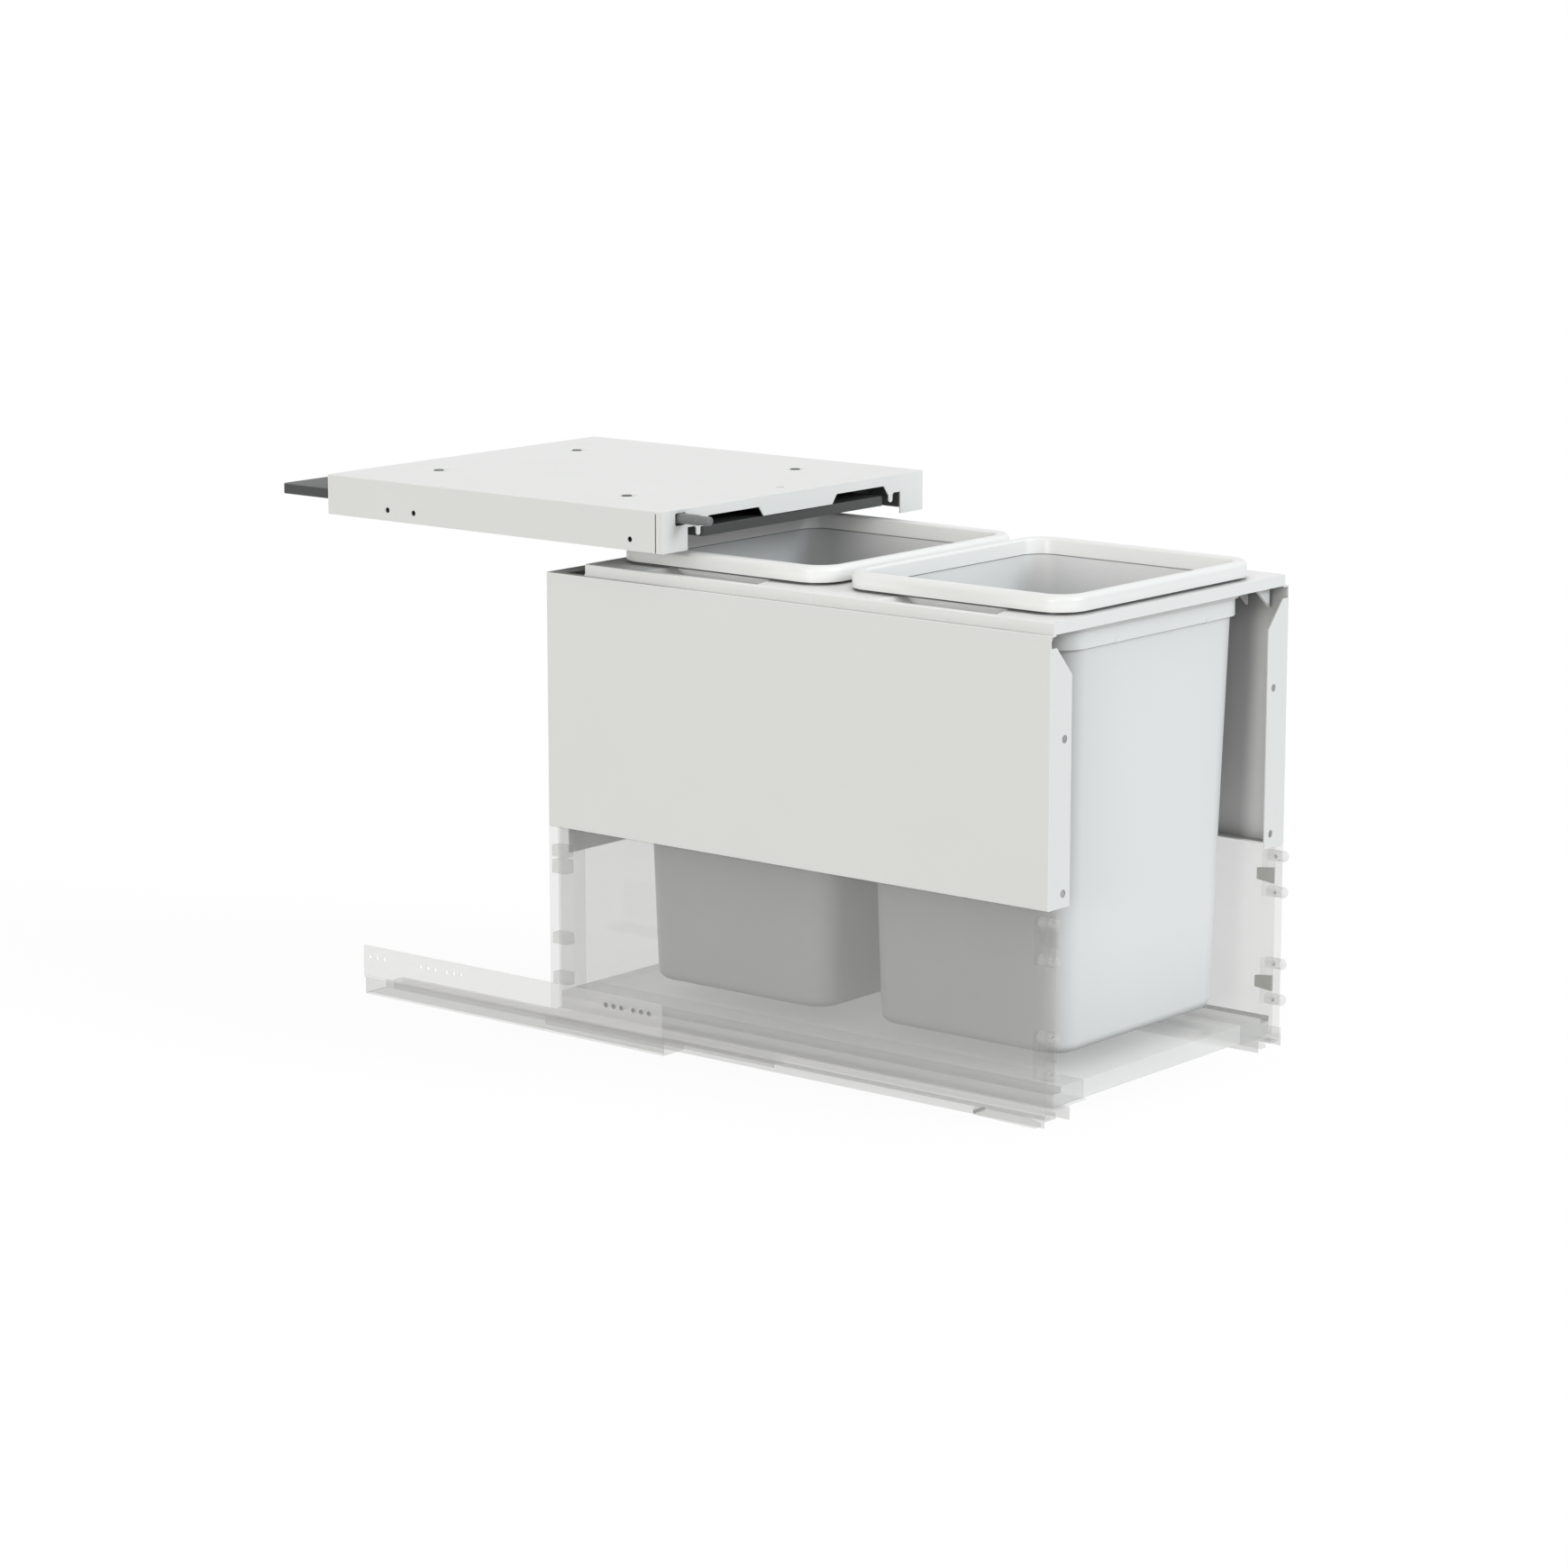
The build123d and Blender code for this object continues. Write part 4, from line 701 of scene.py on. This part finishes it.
# %% Screw heads
screw_tree, screw_in, screw_out = new_tree("screw_heads", [
    ("Face", "NodeSocketFloat"), ("Back", "NodeSocketFloat"), ("Radius", "NodeSocketFloat"),
    ("Start", "NodeSocketVector"), ("Step", "NodeSocketVector"), ("Leap", "NodeSocketVector"),
    ("Finish", "NodeSocketMaterial")])
DOME = [(0.0, 0.42), (0.10, 0.66), (0.30, 0.88), (0.55, 0.98), (0.8, 1.0), (1.0, 1.0)]
CROSS_WIDTH, CROSS_LENGTH, CROSS_DEPTH = 0.26, 1.15, 0.9  # shares of the head's radius
INNER_BACK_SCREW = 0.060                     # from the middle to the panel's inner screws

dome = turned_profile(
    screw_tree, vector(screw_tree, y=screw_in.outputs["Face"]),
    vector(screw_tree, y=screw_in.outputs["Back"]), screw_in.outputs["Radius"], DOME,
    rings=21, facets=24)
radius = screw_in.outputs["Radius"]
width = maths(screw_tree, "MULTIPLY", radius, CROSS_WIDTH)
length = maths(screw_tree, "MULTIPLY", radius, CROSS_LENGTH)
depth = maths(screw_tree, "MULTIPLY", radius, CROSS_DEPTH)
bars = [step(screw_tree, "GeometryNodeMeshCube", Size=vector(screw_tree, x, depth, z))
        for x, z in ((width, length), (length, width))]
cross = step(screw_tree, "GeometryNodeMeshBoolean", {"operation": "UNION"})
for bar in bars:
    moved = step(screw_tree, "GeometryNodeTransform", Geometry=bar.outputs["Mesh"],
                 Translation=vector(screw_tree, y=screw_in.outputs["Face"]))
    screw_tree.links.new(moved.outputs[0], cross.inputs["Mesh 2"])
head = step(screw_tree, "GeometryNodeMeshBoolean", {"operation": "DIFFERENCE"},
            Mesh_1=dome)
screw_tree.links.new(cross.outputs["Mesh"], head.inputs["Mesh 2"])
row = set_in_line(screw_tree, head.outputs["Mesh"], 2, screw_in.outputs["Step"])
rows = set_in_line(screw_tree, row, 2, screw_in.outputs["Leap"],
                   Start_Location=screw_in.outputs["Start"])
end_tree(screw_tree, screw_out, rows, smooth=False)

for side in ("left", "right"):
    node = f"{side}_bracket_screws"
    low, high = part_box(node)
    size = (high.x - low.x) / 2
    heads = grow(
        f"{side}_bracket_screw_heads", screw_tree, looks["fixing_steel"],
        Face=low.y, Back=high.y, Radius=size, Start=((low.x + high.x) / 2, 0, low.z + size),
        Step=(0, 0, PAIR_SPACING), Leap=(0, 0, PAIR_PITCH))
    dress(heads, "drawer", "fixing_steel", node)

low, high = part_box("back_panel_screws")
size = (high.z - low.z) / 2
outer = high.x - size
heads = grow(
    "back_panel_screw_heads", screw_tree, looks["fixing_steel"],
    Face=high.y, Back=low.y, Radius=size, Start=(-outer, 0, (low.z + high.z) / 2),
    Step=(outer - INNER_BACK_SCREW, 0, 0), Leap=(outer + INNER_BACK_SCREW, 0, 0))
dress(heads, "drawer", "fixing_steel", "back_panel_screws")

# %% [markdown]
# ## The painted shadows in the holes
#
# Three sorts of openings read as dark: the holes in the cover's dimples, the front screw holes
# of the rails, which run in threes, and the slit where the cover's front is folded round to its
# side. A short dark plug stands for the painted shadow in each hole. The tree sets plugs on a row
# of points and copies the row at a second step. The slit has a flat dark strip as its painted
# shadow.

# %% Hole plugs of painted shadow
# Each pair of dimples: how far out from the middle and how far behind the front
DIMPLES = {"front": (0.1167, 0.097), "rear": (0.0943, 0.344)}
DIMPLE_DEPTH = 0.0014
DIMPLE_SHADOW_PLUG = (0.0044, 0.0013)               # radius and depth
RAIL_HOLE_SHADOW = (0.0021, 0.0012)
RAIL_HOLE_SHADOW_INSET = 0.00075                    # from the rail's face to the plug's middle
FIRST_HOLE, HOLE_PITCH, HOLES = 0.019, 0.009, 3
GROUP_PITCH = 0.032

shadow_plug_tree, plug_in, plug_out = new_tree("hole_plugs", [
    ("Radius", "NodeSocketFloat"), ("Depth", "NodeSocketFloat"), ("Turn", "NodeSocketVector"),
    ("Start", "NodeSocketVector"), ("Count", "NodeSocketInt"), ("Step", "NodeSocketVector"),
    ("Leap", "NodeSocketVector"), ("Finish", "NodeSocketMaterial")])
plug = step(shadow_plug_tree, "GeometryNodeMeshCylinder", Vertices=32,
            Radius=plug_in.outputs["Radius"], Depth=plug_in.outputs["Depth"])
turned = step(shadow_plug_tree, "GeometryNodeTransform", Geometry=plug.outputs["Mesh"],
              Rotation=plug_in.outputs["Turn"])
plug_row = set_in_line(shadow_plug_tree, turned.outputs[0], plug_in.outputs["Count"],
                       plug_in.outputs["Step"])
plug_rows = set_in_line(shadow_plug_tree, plug_row, 2, plug_in.outputs["Leap"],
                        Start_Location=plug_in.outputs["Start"])
end_tree(shadow_plug_tree, plug_out, plug_rows, smooth=False)

cover_low, cover_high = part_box("cover_housing")
# Dark plugs at the bottom of the dimples paint the shadow in their holes
plug_radius, plug_depth = DIMPLE_SHADOW_PLUG
for name, (x, y) in DIMPLES.items():
    plugs = grow(
        f"{name}_dimple_plugs", shadow_plug_tree, looks["dark_plastic"], Radius=plug_radius,
        Depth=plug_depth, Turn=(0, 0, 0), Count=1, Step=(0, 0, 0), Leap=(2 * x, 0, 0),
        Start=(-x, y, cover_high.z - DIMPLE_DEPTH + plug_depth / 2))
    dress(plugs, "root", "dark_plastic")
# Grey plugs in the rails' screw holes paint the shadow in them, in the hook metal's finish
plug_radius, plug_depth = RAIL_HOLE_SHADOW
for side, sign in (("left", -1), ("right", 1)):
    plugs = grow(
        f"{side}_rail_plugs", shadow_plug_tree, hook_metal, Radius=plug_radius, Depth=plug_depth,
        Turn=(0, math.radians(90.0), 0), Count=HOLES, Step=(0, HOLE_PITCH, 0),
        Leap=(0, GROUP_PITCH, 0), Start=(sign * (cover_high.x - RAIL_HOLE_SHADOW_INSET), FIRST_HOLE, 0))
    dress(plugs, "root", "bracket_metal")

# %% Slit strips of painted shadow
SLIT_START, SLIT_END = 0.0073, 0.0085        # how far behind the cover's front
STRIP_THICKNESS = 0.001
STRIP_INSET = 0.0006                         # from the cover's side to the strip's middle
STRIP_MARGIN = 0.003                         # how much shorter it is than the cover is high

strip_tree, strip_in, strip_out = new_tree("slit_strips", [
    ("Size", "NodeSocketVector"), ("Start", "NodeSocketVector"), ("Leap", "NodeSocketVector"),
    ("Finish", "NodeSocketMaterial")])
strip = step(strip_tree, "GeometryNodeMeshCube", Size=strip_in.outputs["Size"])
both = set_in_line(strip_tree, strip.outputs["Mesh"], 2, strip_in.outputs["Leap"],
                   Start_Location=strip_in.outputs["Start"])
end_tree(strip_tree, strip_out, both, smooth=False)

# Dark strips in the slits paint the shadow in them
strip_x = cover_high.x - STRIP_INSET
strips = grow(
    "cover_slit_strips", strip_tree, looks["dark_plastic"],
    Size=(STRIP_THICKNESS, SLIT_END - SLIT_START, cover_high.z - cover_low.z - STRIP_MARGIN),
    Start=(-strip_x, (SLIT_START + SLIT_END) / 2, (cover_low.z + cover_high.z) / 2),
    Leap=(2 * strip_x, 0, 0))
dress(strips, "root", "dark_plastic")

# %% [markdown]
# ## The lid's return spring
#
# Under the cover a coil spring pushes the plunger forward again. It is a helix with a round wire
# drawn along it. When the plunger goes in, the real coils close up towards the fixed end; here
# the spring is one fixed mesh.

# %% Return spring
TURNS = 12.0
WIRE_RADIUS = 0.0006

spring_tree, spring_in, spring_out = new_tree("return_spring", [
    ("Turns", "NodeSocketFloat"), ("Coil Radius", "NodeSocketFloat"),
    ("Wire Radius", "NodeSocketFloat"), ("Length", "NodeSocketFloat"),
    ("Start", "NodeSocketVector"), ("Finish", "NodeSocketMaterial")])
helix = step(spring_tree, "GeometryNodeCurveSpiral", Resolution=24,
             Rotations=spring_in.outputs["Turns"], Height=spring_in.outputs["Length"],
             Start_Radius=spring_in.outputs["Coil Radius"],
             End_Radius=spring_in.outputs["Coil Radius"])
laid = step(spring_tree, "GeometryNodeTransform", Geometry=helix.outputs[0],
            Translation=spring_in.outputs["Start"],
            Rotation=(math.radians(-90.0), 0.0, 0.0))
wire = step(spring_tree, "GeometryNodeCurvePrimitiveCircle", Resolution=10,
            Radius=spring_in.outputs["Wire Radius"])
coil = step(spring_tree, "GeometryNodeCurveToMesh", Curve=laid.outputs[0],
            Profile_Curve=wire.outputs["Curve"], Fill_Caps=True)
end_tree(spring_tree, spring_out, coil.outputs["Mesh"])

low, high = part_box("lid_return_spring")
middle = (low + high) / 2
spring = grow(
    "closing_spring", spring_tree, looks["spring_steel"], Turns=TURNS,
    Coil_Radius=(high.x - low.x) / 2 - WIRE_RADIUS, Wire_Radius=WIRE_RADIUS,
    Length=high.y - low.y - 2 * WIRE_RADIUS,
    Start=(middle.x, low.y + WIRE_RADIUS, middle.z))
dress(spring, "root", "spring_steel", "lid_return_spring")
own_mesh(spring)
